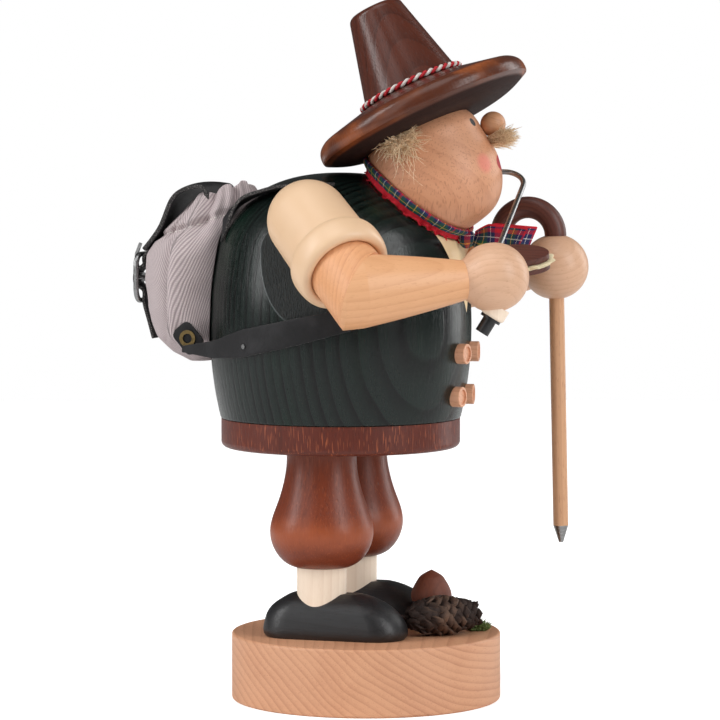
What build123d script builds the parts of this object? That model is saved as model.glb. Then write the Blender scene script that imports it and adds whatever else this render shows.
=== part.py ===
from build123d import *
import os
from math import cos, radians, sin, sqrt

# Incense smoker in the shape of a hiker, turned in wood. All sizes are in millimetres.
# +Z is up. The figure looks along -Y, and its right side is -X.
# The origin is the centre of the base's underside.

# Fits
lift_gap = 0.3          # body bore over the waist spigot, and every other part that only lies close
pivot_gap = 0.06        # radial running clearance of the buckle's prong
cut_over = 1.0          # how far a cutting tool runs past the face that it cuts

# Base
base_radius = 53.6
base_height = 26.7
base_edge_radius = 1.0

# Shoes. Each row of the form: height, and what is taken off heel, toe and side, as shares of the sizes
leg_spacing = 41.2
shoe_length = 58.6
shoe_width = 25.0
shoe_height = 17.4
shoe_middle_y = 6.4
shoe_form_shares = ((0, 0.02, 0.02, 0.03), (0.12, 0, 0, 0), (0.42, 0.015, 0.025, 0.02),
                    (0.65, 0.05, 0.085, 0.07), (0.83, 0.115, 0.165, 0.16), (0.94, 0.17, 0.245, 0.26),
                    (1, 0.215, 0.315, 0.35))

# Socks
leg_y = 12.0
sock_radius = 9.8
sock_seat_depth = 9.4
sock_height = 19.8
ankle_tenon_radius = 5.0
ankle_tenon_length = 9.0

# Breeches
breeches_hem_radius = 10.6
breeches_bulge_radius = 20.4
breeches_knee_radius = 17.2
breeches_top_radius = 13.9
breeches_height = 46.0
breeches_neck_radius = 14.4
breeches_gather_shares = (0.53, 0.065)
breeches_bulge_height_share = 0.3
breeches_knee_height_share = 0.56
breeches_neck_height_share = 0.79

# Dowels inside the legs
foot_dowel_radius = 4.0
foot_dowel_depth_in_base = 12.0
foot_dowel_depth_in_sock = 10.0
hip_dowel_radius = 5.0
hip_dowel_depth_in_disc = 7.0
hip_dowel_depth_in_leg = 14.0

# Waist disc, the lid of the smoke chamber
body_y = 10.6
waist_radius = 47.6
waist_thickness = 11.5
waist_edge_radius = 2.4
spigot_height = 5.0
air_hole_radius = 2.5
air_hole_y = 20.0

# Incense plate and its tack
plate_radius = 12.5
plate_sheet = 0.6
plate_rim_height = 1.8
plate_recess_depth = 0.8
tack_head_radius = 2.0
tack_head_height = 0.7
tack_shank_radius = 0.7
tack_shank_length = 6.0

# Mushroom on the base
mushroom_x = 10.2
mushroom_y = -24.2
mushroom_stem_radius = 3.2
mushroom_stem_height = 11.6
mushroom_cap_radius = 8.1
mushroom_cap_height = 12.6
mushroom_socket_depth = 2.5
mushroom_lip_shares = (0.92, 0.125)
mushroom_brow_shares = (0.68, 0.68)

# Pine cone on the base
cone_stalk_end = (-11.5, -22.5)
cone_tip_end = (6.5, -46.0)
cone_radius = 8.3
cone_full_share = 0.36
cone_tip_share = 0.4
cone_stalk_share = 0.5
cone_rows = 9
cone_step_shares = (0.15, 0.8)
cone_scale_depth = 1.5
cone_flat_depth = 0.4

# Moss beside the cone
moss_x = 13.5
moss_y = -43.0
moss_length = 9.0
moss_width = 7.0
moss_height = 5.0
moss_taper = 20.0
moss_turn = 40.0

# Body, a hollow barrel
body_foot_radius = 47.8
body_belly_radius = 52.1
body_belly_height = 37.0
body_shoulder_radius = 49.0
body_shoulder_height = 68.0
body_height = 97.4
body_slope_radius_share = 0.775
body_slope_height_share = 0.6
body_foot_edge_radius = 1.2
chamber_radius = 34.0
chamber_depth = 58.0
chamber_top_edge_radius = 5.0
facet_depth = 2.0
facet_drop = 35.4
facet_slant = 13.0
smoke_channel_radius = 2.5
smoke_channel_forward = 16.6

# Neck, the slanted seat of the head, in front of the body's axis and below its top
neck_forward = 30.4
neck_drop = 13.6
neck_slant = 36.3
neck_dowel_radius = 5.0
neck_dowel_length = 18.0

# Waistcoat buttons
button_radius = 4.0
button_thickness = 4.2
button_dish_radius = 3.0
button_dish_depth = 0.8
button_edge_radius = 0.4
button_angle = 8.8
button_heights = (26.8, 9.8)
button_seat_depth = 0.5

# Head, placed from the neck
head_forward = 9.2
head_rise = 12.5
head_radius = 25.3
head_tilt = 24.0
head_top = 20.0
head_bottom = 24.2
head_form_shares = ((0.42, -0.93), (0.63, -0.845), (0.81, -0.68), (0.925, -0.47), (1, 0), (0.935, 0.44))
head_crown_share = 0.81
head_crown_lean_share = 0.75
face_turn = 14.0
mouth_drop = 5.0

# Nose, moustache and hair
nose_radius = 5.0
nose_rise = 10.0
nose_seat_depth = 0.45
nose_pin_radius = 0.9
nose_pin_depth = 3.0
moustache_width = 22.0
moustache_depth = 11.6
moustache_height = 6.4
moustache_rise = 4.6
moustache_sunk = 1.6
hair_x = 22.0
hair_back = 8.7
hair_rise = 14.1
hair_length = 16.0
hair_width = 10.0
hair_height = 15.0

# Hat
hat_tilt = 26.4
hat_rise = 18.4
hat_forward = 5.2
hat_underside_radius = 30.0
hat_brim_radius = 44.2
hat_rim_rise = 4.1
hat_rim_height = 7.2
hat_rim_lean = 3.4
hat_crown_foot_radius = 19.9
hat_crown_foot_height = 16.6
hat_crown_top_radius = 10.6
hat_height = 52.4
hat_crown_edge_radius = 3.0
hat_dowel_radius = 4.0
hat_dowel_length = 18.0
hat_cord_radius = 1.15
hat_cord_gap = 0.1

# Upper arms: a round-topped sleeve with a rolled cuff
shoulder_out = 3.0
shoulder_forward = 2.8
shoulder_drop = 17.8
sleeve_direction = (-0.56, -0.62, -0.55)
sleeve_radius = 16.0
sleeve_end_radius = 16.5
sleeve_length = 21.6
cuff_radius = 18.8
cuff_length = 12.4
cuff_recess_depth = 6.5
cuff_lip_share = 0.35
elbow_distance = 46.0
elbow_radius = 13.9
elbow_corner_radius = 16.7

# Forearms and hands, the hands placed from the shoulders
wrist_radius = 7.65
forearm_middle_radius = 11.1
forearm_root_radius = 14.1
forearm_middle_share = 0.52
hand_inset = 2.0
hand_forward = 73.4
hand_drop = 20.6
hand_radius = 13.1
hand_back_stretch = 1.15
hand_back_length = 12.4
hand_back_side_share = 0.6
hand_back_lean_share = 0.6

# Dowels inside the arms
shoulder_dowel_radius = 4.0
shoulder_dowel_place = 9.0
shoulder_dowel_depth = 8.0
elbow_dowel_radius = 4.0
elbow_dowel_depth = 8.0
wrist_dowel_radius = 3.0
wrist_dowel_depth = 7.0

# Pipe: steel stem, pale bowl collar and black bowl end
stem_radius = 1.05
stem_mouth_drop = 3.75
stem_depth_in_head = 3.6
stem_corner_reach = 10.4
stem_bend_radius = 7.6
stem_aim_y = 3.0
stem_depth_in_hand = 6.0
bowl_direction = (-0.163, 0.5, -0.85)
bowl_seat = (-0.2, -0.6, -12.4)
bowl_collar_radius = 4.9
bowl_collar_height = 3.4
bowl_collar_sunk = 1.6
bowl_collar_edge_radius = 1.2
bowl_flange_radius = 4.1
bowl_flange_height = 1.1
bowl_end_radius = 2.7
bowl_end_length = 5.8

# Slices of bread with their filling, held against the right hand
bread_inset = 19.4
bread_forward = 3.4
bread_rise = 5.6
bread_tilt = 22.0
bread_length = 26.0
bread_width = 16.5
bread_slice = 2.2
filling_thickness = 1.8
filling_overhang = 1.4

# Walking stick
stick_radius = 3.05
stick_lean = 1.3
stick_reach = 105.0
stick_tip_length = 6.8
stick_tip_end_radius = 0.9
stick_pin_radius = 1.0
stick_pin_length = 4.0
crook_radius = 11.4
crook_thickness = 8.8
crook_sweep = 182.0
crook_seat_depth = 3.0
crook_foot_drop = 0.6

# Neck scarf
scarf_band_height = 6.2
scarf_cloth = 1.8
scarf_knot_length = 7.0
scarf_knot_reach = 24.6
scarf_knot_width = 6.0
scarf_knot_height = 7.0
scarf_tail_length = 24.6
scarf_tail_width = 13.5
scarf_tail_root_width = 6.0
scarf_tail_root_share = 0.42
scarf_tail_end_shares = (1, 0.9)
scarf_tail_cloth = 0.9
scarf_tail_splay = 20.0
scarf_tail_droop = 5.0
scarf_tail_wave = 1.6
scarf_tail_cut_share = 0.3

# Rucksack bag. Each row: height, half width, front and back, as shares of the bag's sizes
bag_top_drop = 4.2
bag_height = 71.0
bag_half_width = 30.0
bag_front_inset = 14.7
bag_depth = 42.0
bag_corner_share = 0.88
bag_gap = 0.4
bag_form_shares = ((0, 0.55, 0.31, 0.57), (0.05, 0.76, 0.22, 0.7), (0.14, 0.91, 0.12, 0.85),
                   (0.3, 1, 0.04, 0.965), (0.45, 1, 0, 1), (0.6, 0.97, -0.05, 0.965),
                   (0.74, 0.9, -0.08, 0.83), (0.86, 0.8, -0.09, 0.62), (0.94, 0.7, -0.04, 0.46),
                   (1, 0.52, 0.07, 0.32))

# Leather lid, in shares of its reach behind the bag's front and of its drop below the bag's top
lid_width = 34.0
lid_leather = 1.8
lid_reach = 42.0
lid_drop = 27.0
lid_bend_radius = 4.0
lid_path_shares = ((0.31, 0.3), (0.36, 0.05), (0.53, 0.045), (0.68, 0.2), (0.8, 0.64), (0.95, 0.99))

# Lid strap
lid_strap_width = 9.0
lid_strap_leather = 1.3
lid_strap_bend_radius = 1.6
lid_strap_slot_width = 2.4
lid_strap_slot_length = 7.4
lid_strap_tail = 14.2
lid_strap_lap = 7.0
lid_strap_tail_lean = 4.0
lid_strap_bulge_shares = (0.22, 0.5)

# Buckle and its prong
buckle_back = 46.4
buckle_rise = 32.6
buckle_height = 20.6
buckle_width = 18.0
buckle_corner_radius = 6.0
buckle_wire = 2.0
buckle_edge_radius = 0.7
buckle_bar_radius = 0.9
prong_eye_wall = 0.9
prong_width = 1.4
prong_thickness = 1.1
prong_overhang = 3.4
prong_bow = 0.9

# Shoulder straps, each from the bag's top over the shoulder
strap_leather = 1.4
strap_width = 10.0
strap_front_inset = 15.0
strap_front_forward = 5.6
strap_yaw = 14.5
strap_in_bag = 1.0
strap_hump_share = 0.86
strap_low_drop = 5.0
strap_sag = 0.8
strap_sag_share = 0.4
strap_fall = 6.2
strap_end_fall = 5.4
strap_bend_radius = 6.0

# Side straps, each from the bag's lower corner round the body to under the arm
side_strap_front_forward = 19.6
side_strap_front_rise = 24.1
side_strap_drop = 19.5
side_strap_upper_shares = ((0, 0), (0.27, 0.2), (0.6, 0.47), (0.79, 0.73), (1, 0.87))
side_strap_lower_shares = ((1, 1), (0.79, 1.08), (0.6, 1.03), (0.27, 0.74), (0, 0.45))
side_strap_end_back = 18.0
strap_nail_share = 0.468
strap_nail_rise = 8.4
strap_nail_head_radius = 0.9
strap_nail_head_height = 0.5
strap_nail_shank_radius = 0.45
strap_nail_depth = 5.0

# Leather tabs on the bag's lower corners, each with an eyelet
tab_leather = 1.6
tab_length = 12.0
tab_height = 9.0
tab_corner_radius = 2.4
tab_turn = 50.0
tab_back = 16.6
tab_rise = 10.0
eyelet_radius = 3.3
eyelet_hole_radius = 1.9
eyelet_height = 0.6

# Heights and places worked out from the sizes above
base_top = base_height
sock_foot_z = base_top + shoe_height - sock_seat_depth
hem_z = sock_foot_z + sock_height
waist_z = hem_z + breeches_height
body_z = waist_z + waist_thickness
spigot_radius = chamber_radius - lift_gap
leg_x = leg_spacing / 2
plate_z = body_z + spigot_height - plate_recess_depth
body_top_z = body_z + body_height
body_back_y = body_y + body_belly_radius
body_wide_radius = max(body_belly_radius, body_shoulder_radius)
facet_x = body_shoulder_radius - facet_depth
neck_y = body_y - neck_forward
neck_z = body_top_z - neck_drop
head_y = neck_y - head_forward
head_z = neck_z + head_rise
shoulder_x = facet_x + shoulder_out
shoulder_y = body_y - shoulder_forward
shoulder_z = body_top_z - shoulder_drop
hand_x = shoulder_x - hand_inset
hand_y = shoulder_y - hand_forward
hand_z = shoulder_z - hand_drop
bag_front_y = body_back_y - bag_front_inset
bag_top_z = body_top_z - bag_top_drop
bag_bottom_z = bag_top_z - bag_height
buckle_y = bag_front_y + buckle_back
buckle_z = bag_bottom_z + buckle_rise
strap_front_x = body_shoulder_radius - strap_front_inset
strap_front_y = body_y - strap_front_forward
strap_path_length = bag_front_y - strap_front_y + strap_in_bag
strap_low_z = body_top_z - strap_low_drop
side_strap_front_y = body_y - side_strap_front_forward
side_strap_front_z = bag_bottom_z + side_strap_front_rise
side_strap_end_x = bag_half_width + strap_leather
side_strap_end_y = bag_front_y + side_strap_end_back


def direction(x, y, z):
    return Vector(x, y, z).normalized()


def both_sides(right):
    """One group of two alike pieces, right and left."""
    return Compound(children=[*right.solids(), *mirror(right, Plane.YZ).solids()])


def rod(start, end, radius):
    """A round rod between two points."""
    run = Vector(end) - Vector(start)
    seat = Plane(origin=start, z_dir=run)
    return seat * extrude(Circle(radius), run.length)


def turned(outline):
    """A lathe-turned solid: the outline's X is the radius and its Y the height."""
    return revolve(Plane.XZ * make_face(outline), Axis.Z)


def largest(shape):
    """The main solid of a cut piece."""
    return shape.solids().sort_by(SortBy.VOLUME)[-1]


def band(points, bend_radius, width, thickness):
    """A strip of leather along a bent line in the YZ plane, as wide along X as it says."""
    line = FilletPolyline(*[(0, y, z) for y, z in points], radius=bend_radius)
    section = Plane(origin=line @ 0, x_dir=(1, 0, 0), z_dir=line % 0) * Rectangle(width, thickness)
    return sweep(section, path=line)


# Base, a beech disc
def make_base():
    disc = extrude(Circle(base_radius), base_height)
    disc = fillet(disc.edges().filter_by(GeomType.CIRCLE), base_edge_radius)
    for side in (-1, 1):
        foot = (side * leg_x, leg_y, base_top - foot_dowel_depth_in_base)
        disc -= rod(foot, (side * leg_x, leg_y, base_top + cut_over), foot_dowel_radius)
    return disc


# One shoe, carved with a round toe and heel, and bored for the sock and its dowel
def make_shoe():
    sections = []
    for height, heel, toe, side in shoe_form_shares:
        outline = Rot(0, 0, 90) * SlotOverall(shoe_length * (1 - heel - toe), shoe_width * (1 - 2 * side))
        middle_y = shoe_middle_y + (toe - heel) / 2 * shoe_length
        sections.append(Pos(-leg_x, middle_y, base_top + height * shoe_height) * outline)
    shoe = loft(sections)
    shoe -= rod((-leg_x, leg_y, sock_foot_z), (-leg_x, leg_y, base_top + shoe_height + cut_over), sock_radius)
    return shoe - make_foot_dowel()


def make_foot_dowel():
    low = (-leg_x, leg_y, base_top - foot_dowel_depth_in_base)
    return rod(low, (-leg_x, leg_y, sock_foot_z + foot_dowel_depth_in_sock), foot_dowel_radius)


# One sock, a pale peg with a turned tenon at its top
def make_sock():
    peg = rod((-leg_x, leg_y, sock_foot_z), (-leg_x, leg_y, hem_z), sock_radius)
    return peg + make_ankle_tenon() - make_foot_dowel()


def make_ankle_tenon():
    return rod((-leg_x, leg_y, hem_z), (-leg_x, leg_y, hem_z + ankle_tenon_length), ankle_tenon_radius)


# One leg of the breeches, turned with a full knee
def make_breeches():
    bulge_height = breeches_bulge_height_share * breeches_height
    hem = (breeches_hem_radius, 0)
    gather_out, gather_up = breeches_gather_shares
    gather = (breeches_hem_radius + gather_out * (breeches_bulge_radius - breeches_hem_radius),
              gather_up * breeches_height)
    bulge = (breeches_bulge_radius, bulge_height)
    knee = (breeches_knee_radius, breeches_knee_height_share * breeches_height)
    neck = (breeches_neck_radius, breeches_neck_height_share * breeches_height)
    top = (breeches_top_radius, breeches_height)
    side = Spline(hem, gather, bulge, knee, neck, top)
    axis_top = (0, breeches_height)
    outline = side + Line(top, axis_top) + Line(axis_top, (0, 0)) + Line((0, 0), hem)
    leg = Pos(-leg_x, leg_y, hem_z) * turned(outline)
    return leg - make_ankle_tenon() - make_hip_dowel()


def make_hip_dowel():
    low = (-leg_x, leg_y, waist_z - hip_dowel_depth_in_leg)
    return rod(low, (-leg_x, leg_y, waist_z + hip_dowel_depth_in_disc), hip_dowel_radius)


# Waist disc with the spigot that the hollow body sits on, an air hole and the seat of the incense plate
def make_waist_disc():
    disc = extrude(Circle(waist_radius), waist_thickness)
    rim = disc.edges().filter_by(GeomType.CIRCLE).sort_by(Axis.Z)[0]
    disc = fillet(rim, waist_edge_radius)
    disc = Pos(0, body_y, waist_z) * disc
    disc += Pos(0, body_y, body_z) * extrude(Circle(spigot_radius), spigot_height)
    spigot_top = body_z + spigot_height
    recess = extrude(Circle(plate_radius + lift_gap), spigot_height)
    disc -= Pos(0, body_y, spigot_top - plate_recess_depth) * recess
    disc -= rod((0, body_y + air_hole_y, waist_z - cut_over), (0, body_y + air_hole_y, spigot_top + cut_over),
                air_hole_radius)
    disc -= both_sides(make_hip_dowel())
    return disc - make_tack()


# Incense plate, a pressed tin dish, and the tack that holds it
def make_plate():
    inner = plate_radius - plate_sheet
    outline = Polyline((0, 0), (plate_radius, 0), (plate_radius, plate_rim_height), (inner, plate_rim_height),
                       (inner, plate_sheet), (0, plate_sheet), (0, 0))
    return Pos(0, body_y, plate_z) * turned(outline) - make_tack()


def make_tack():
    head_foot = plate_z + plate_sheet
    point = (0, body_y, head_foot - tack_shank_length)
    head_top_point = (0, body_y, head_foot + tack_head_height)
    shank = rod(point, head_top_point, tack_shank_radius)
    return shank + rod((0, body_y, head_foot), head_top_point, tack_head_radius)


# Mushroom: a pale stem and a pointed cap
def make_mushroom_stem():
    low = (mushroom_x, mushroom_y, base_top)
    return rod(low, (mushroom_x, mushroom_y, base_top + mushroom_stem_height + mushroom_socket_depth),
               mushroom_stem_radius)


def make_mushroom_cap():
    edge_share, lip_share = mushroom_lip_shares
    brow_out, brow_up = mushroom_brow_shares
    edge = (mushroom_cap_radius * edge_share, 0)
    lip = (mushroom_cap_radius, mushroom_cap_height * lip_share)
    brow = (mushroom_cap_radius * brow_out, mushroom_cap_height * brow_up)
    top = (0, mushroom_cap_height)
    side = Spline(edge, lip, brow, top, tangents=((1, 1), (-2, 1)))
    outline = side + Line(top, (0, 0)) + Line((0, 0), edge)
    cap = Pos(mushroom_x, mushroom_y, base_top + mushroom_stem_height) * turned(outline)
    return cap - make_mushroom_stem()


# Pine cone lying on the base: rows of scales, each row a step in its outline
def make_pine_cone():
    stalk = Vector(*cone_stalk_end)
    run = Vector(*cone_tip_end) - stalk
    length = run.length
    pitch = length / cone_rows

    def reach(share):
        before = share < cone_full_share
        end_share = cone_stalk_share if before else cone_tip_share
        away = (share - cone_full_share) / (cone_full_share if before else 1 - cone_full_share)
        return cone_radius * (1 - (1 - end_share) * away ** 2)

    low_step, high_step = cone_step_shares
    points = [(0, 0)]
    for row in range(cone_rows):
        points.append((reach((row + low_step) / cone_rows) - cone_scale_depth, row * pitch))
        points.append((reach((row + high_step) / cone_rows), (row + high_step) * pitch))
    points.append((0, length))
    cone = turned(Polyline(*points, close=True))
    axis_z = base_top + cone_radius - cone_flat_depth
    lying = Plane(origin=(stalk.X, stalk.Y, axis_z), z_dir=(run.X, run.Y, 0))
    cone = lying * cone
    return largest(cone - Pos(0, 0, base_top - base_height) * extrude(Circle(base_radius), base_height))


# A tuft of moss at the cone's tip
def make_moss():
    tuft = extrude(Ellipse(moss_length / 2, moss_width / 2), moss_height, taper=moss_taper)
    tuft = Pos(moss_x, moss_y, base_top) * (Rot(0, 0, moss_turn) * tuft)
    return largest(tuft - make_pine_cone())


# Outline of the hollow body, grown by a margin for what lies on it
def body_form(margin=0):
    foot = (body_foot_radius + margin, 0)
    belly = (body_belly_radius + margin, body_belly_height)
    shoulder_end = (body_shoulder_radius + margin, body_shoulder_height)
    aslant = margin * sin(radians(45))
    dome_height = body_height - body_shoulder_height
    slope = (body_shoulder_radius * body_slope_radius_share + aslant,
             body_shoulder_height + body_slope_height_share * dome_height + aslant)
    top = (0, body_height + margin)
    side = ThreePointArc(foot, belly, shoulder_end)
    dome = Spline(shoulder_end, slope, top, tangents=(side % 1, (-1, 0)))
    outline = side + dome + Line(top, (0, 0)) + Line((0, 0), foot)
    return Pos(0, body_y, body_z) * turned(outline)


facet_seat = Plane(origin=(-facet_x, body_y, body_top_z - facet_drop),
                   z_dir=(-cos(radians(facet_slant)), 0, sin(radians(facet_slant))))
neck_seat = Plane(origin=(0, neck_y, neck_z), x_dir=(1, 0, 0),
                  z_dir=(0, -sin(radians(neck_slant)), cos(radians(neck_slant))))


block_size = 2 * (body_belly_radius + body_height)


def outside(seat):
    """A block that fills everything beyond a flat seat."""
    return seat * extrude(Rectangle(block_size, block_size), block_size)


def inside(seat):
    """A block that fills everything behind a flat seat."""
    return seat * extrude(Rectangle(block_size, block_size), -block_size)


# Body: bored as a smoke chamber, with flats for the arms and a slanted seat for the head
def make_body():
    body = body_form()
    foot_edge = body.edges().filter_by(GeomType.CIRCLE).sort_by(Axis.Z)[0]
    body = fillet(foot_edge, body_foot_edge_radius)
    chamber = extrude(Circle(chamber_radius), chamber_depth)
    chamber = fillet(chamber.edges().filter_by(GeomType.CIRCLE).sort_by(Axis.Z)[-1], chamber_top_edge_radius)
    body -= Pos(0, body_y, body_z) * chamber
    body -= outside(facet_seat)
    body -= mirror(outside(facet_seat), Plane.YZ)
    body -= outside(neck_seat)
    body -= make_neck_dowel()
    body -= make_smoke_channel()
    body -= both_sides(make_shoulder_dowel())
    body -= make_buttons()
    body -= make_strap_nails()
    return largest(body)


def make_neck_dowel():
    low = neck_seat.origin - neck_seat.z_dir * (neck_dowel_length / 2)
    high = neck_seat.origin + neck_seat.z_dir * (neck_dowel_length / 2)
    return rod(low, high, neck_dowel_radius)


# The head's own axis leans back. The face looks a little to the figure's left.
head_middle = Vector(0, head_y, head_z)
head_axis = Vector(0, sin(radians(head_tilt)), cos(radians(head_tilt)))
face_level = Vector(0, -cos(radians(head_tilt)), sin(radians(head_tilt)))
face_way = face_level * cos(radians(face_turn)) + Vector(sin(radians(face_turn)), 0, 0)


def head_outline(margin=0):
    wide = head_radius + margin
    low = head_bottom + margin
    points = [(0, -low)]
    points += [(out * wide, up * (low if up < 0 else wide)) for out, up in head_form_shares]
    points.append((head_crown_share * wide, head_top))
    side = Spline(*points, tangents=((1, 0), (-head_crown_lean_share, 1)))
    top = (0, head_top)
    return side + Line(points[-1], top) + Line(top, points[0])


head_seat = Plane(origin=head_middle, x_dir=(1, 0, 0), z_dir=head_axis)


def face_point(rise, reach):
    """A place in front of the head's middle: a rise along its axis and a reach along the face."""
    return head_middle + head_axis * rise + face_way.normalized() * reach


# The smoke rises from the chamber to the mouth through one drilled channel
mouth = face_point(-mouth_drop, head_radius)
chamber_edge_z = body_z + chamber_depth - chamber_top_edge_radius
channel_foot = Vector(0, body_y - smoke_channel_forward, chamber_edge_z)
channel_way = (mouth - channel_foot).normalized()


def make_smoke_channel():
    return rod(channel_foot, mouth + channel_way * smoke_channel_radius, smoke_channel_radius)


def head_reach(rise):
    """How far the head's side stands from its own axis at a height."""
    level = head_seat.offset(rise)
    ray = Edge.make_line(level.origin, level.origin + face_way.normalized() * 2 * head_radius)
    hits = [vertex.center() for vertex in (ray & head_form()).vertices()]
    return max((point - level.origin).length for point in hits)


def head_form(margin=0):
    """The head's turned form, grown by a margin for what lies on it."""
    return head_seat * turned(head_outline(margin))


def make_head():
    head = head_form() - inside(neck_seat) - outside(hat_seat)
    head -= make_neck_dowel()
    head -= make_smoke_channel()
    head -= make_nose_pin()
    head -= make_nose_ball()
    head -= make_hat_dowel()
    head -= stem_route()
    return largest(head)


nose_middle = face_point(nose_rise, head_reach(nose_rise) + nose_radius - nose_seat_depth)
nose_way = (nose_middle - head_middle).normalized()


def make_nose_ball():
    return Pos(*nose_middle) * Sphere(nose_radius)


def make_nose_pin():
    return rod(nose_middle - nose_way * (nose_radius + nose_pin_depth), nose_middle, nose_pin_radius)


def make_nose():
    return make_nose_ball() + make_nose_pin()


def make_moustache():
    reach = head_reach(moustache_rise) + moustache_depth / 2 - moustache_sunk
    flat_shares = (1, moustache_depth / moustache_width, moustache_height / moustache_width)
    tuft = scale(Sphere(moustache_width / 2), flat_shares)
    seat = Plane(origin=face_point(moustache_rise, reach), x_dir=face_way.cross(head_axis), z_dir=head_axis)
    tuft = seat * tuft
    return largest(tuft - head_form() - make_nose())


# A tuft of flax hair on one side of the head, under the hat's brim
def make_hair():
    ball = scale(Sphere(hair_length / 2), (hair_width / hair_length, 1, hair_height / hair_length))
    tuft = Pos(-hair_x, head_y + hair_back, head_z + hair_rise) * (Rot(-head_tilt, 0, 0) * ball)
    return largest(tuft - head_form() - hat_form())


hat_seat = Plane(origin=head_middle + head_axis * hat_rise + face_level * hat_forward, x_dir=(1, 0, 0),
                 z_dir=(0, sin(radians(hat_tilt)), cos(radians(hat_tilt))))


# Hat, turned in one piece: a thick brim and a tall crown
def hat_form():
    underside = (hat_underside_radius, 0)
    low = (hat_brim_radius - lift_gap, hat_rim_rise)
    edge = (hat_brim_radius, hat_rim_rise + hat_rim_height / 4)
    high = (hat_brim_radius - hat_rim_lean, hat_rim_rise + hat_rim_height)
    crown_foot = (hat_crown_foot_radius, hat_crown_foot_height)
    crown_top = (hat_crown_top_radius, hat_height)
    outline = Line((0, 0), underside) + Spline(underside, low, tangents=((1, 0), (2, 1)))
    outline += Spline(low, edge, high, tangents=((1, 2), (-2, 1)))
    outline += Line(high, crown_foot) + Line(crown_foot, crown_top) + Line(crown_top, (0, hat_height))
    outline += Line((0, hat_height), (0, 0))
    hat = turned(outline)
    top_edge = hat.edges().filter_by(GeomType.CIRCLE).sort_by(Axis.Z)[-1]
    return hat_seat * fillet(top_edge, hat_crown_edge_radius)


def make_hat_dowel():
    low = hat_seat.origin - hat_seat.z_dir * (hat_dowel_length / 2)
    high = hat_seat.origin + hat_seat.z_dir * (hat_dowel_length / 2)
    return rod(low, high, hat_dowel_radius)


def make_hat():
    return hat_form() - make_hat_dowel()


def make_hat_cord():
    """A ring in the corner between brim and crown, a hair clear of both."""
    foot = Vector(hat_crown_foot_radius, hat_crown_foot_height)
    brim_top = Vector(hat_brim_radius - hat_rim_lean, hat_rim_rise + hat_rim_height)
    brim_way = brim_top - foot
    crown_way = Vector(hat_crown_top_radius, hat_height) - foot
    half_angle = radians(brim_way.get_angle(crown_way) / 2)
    way = (brim_way.normalized() + crown_way.normalized()).normalized()
    middle = foot + way * ((hat_cord_radius + hat_cord_gap) / sin(half_angle))
    return hat_seat.offset(middle.Y) * Torus(middle.X, hat_cord_radius)


# Arms. The upper arm points out, forward and down; a mitre turns it into the forearm.
shoulder = Vector(-shoulder_x, shoulder_y, shoulder_z)
upper_way = direction(*sleeve_direction)
elbow = shoulder + upper_way * elbow_distance
hand_middle = Vector(-hand_x, hand_y, hand_z)
forearm_way = (hand_middle - elbow).normalized()
wrist = hand_middle - forearm_way * hand_back_length
sleeve_seat = Plane(origin=shoulder, z_dir=upper_way)
forearm_seat = Plane(origin=elbow, z_dir=forearm_way)
hand_seat = Plane(origin=hand_middle, z_dir=forearm_way)
mitre_seat = Plane(origin=elbow, z_dir=upper_way + forearm_way)
cuff_end = sleeve_length + cuff_length
recess_floor = cuff_end - cuff_recess_depth


# Sleeve: round at the shoulder, flat where it meets the body, with a rolled and recessed cuff
def make_sleeve():
    crown = (0, -sleeve_radius)
    neck = (sleeve_end_radius, sleeve_length)
    lip = cuff_lip_share * cuff_length / 2
    swell = (cuff_radius, sleeve_length + cuff_length / 2)
    lip_end = ((elbow_radius + cuff_radius) / 2, cuff_end)
    lip_inside = (elbow_radius, cuff_end - lip)
    half_way = (sleeve_radius * sin(radians(45)), -sleeve_radius * cos(radians(45)))
    shoulder_arc = ThreePointArc(crown, half_way, (sleeve_radius, 0))
    outline = shoulder_arc + Line((sleeve_radius, 0), neck)
    outline += Spline(neck, swell, lip_end, lip_inside, tangents=((1, 0.5), (0, -1)))
    outline += Line(lip_inside, (elbow_radius, recess_floor))
    outline += Line((elbow_radius, recess_floor), (0, recess_floor)) + Line((0, recess_floor), crown)
    sleeve = sleeve_seat * turned(outline)
    sleeve -= inside(facet_seat)
    sleeve -= make_shoulder_dowel()
    return largest(sleeve - make_elbow_dowel())


def make_shoulder_dowel():
    place = shoulder + upper_way * shoulder_dowel_place
    rise = (place - facet_seat.origin).dot(facet_seat.z_dir)
    foot = place - facet_seat.z_dir * (rise + shoulder_dowel_depth)
    return rod(foot, place - facet_seat.z_dir * (rise - shoulder_dowel_depth), shoulder_dowel_radius)


def make_elbow_dowel():
    floor = shoulder + upper_way * recess_floor
    depth = upper_way * elbow_dowel_depth
    return rod(floor - depth, floor + depth, elbow_dowel_radius)


def elbow_ball():
    return Pos(*elbow) * Sphere(elbow_corner_radius)


# Elbow piece: a short beech cylinder in the cuff's recess, cut to the mitre
def make_elbow():
    start = shoulder + upper_way * recess_floor
    piece = rod(start, elbow + upper_way * elbow_corner_radius, elbow_radius)
    piece -= outside(mitre_seat)
    root = rod(start - upper_way * cut_over, elbow, elbow_radius + cut_over)
    return largest((piece & (elbow_ball() + root)) - make_elbow_dowel() - body_form(lift_gap))


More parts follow.
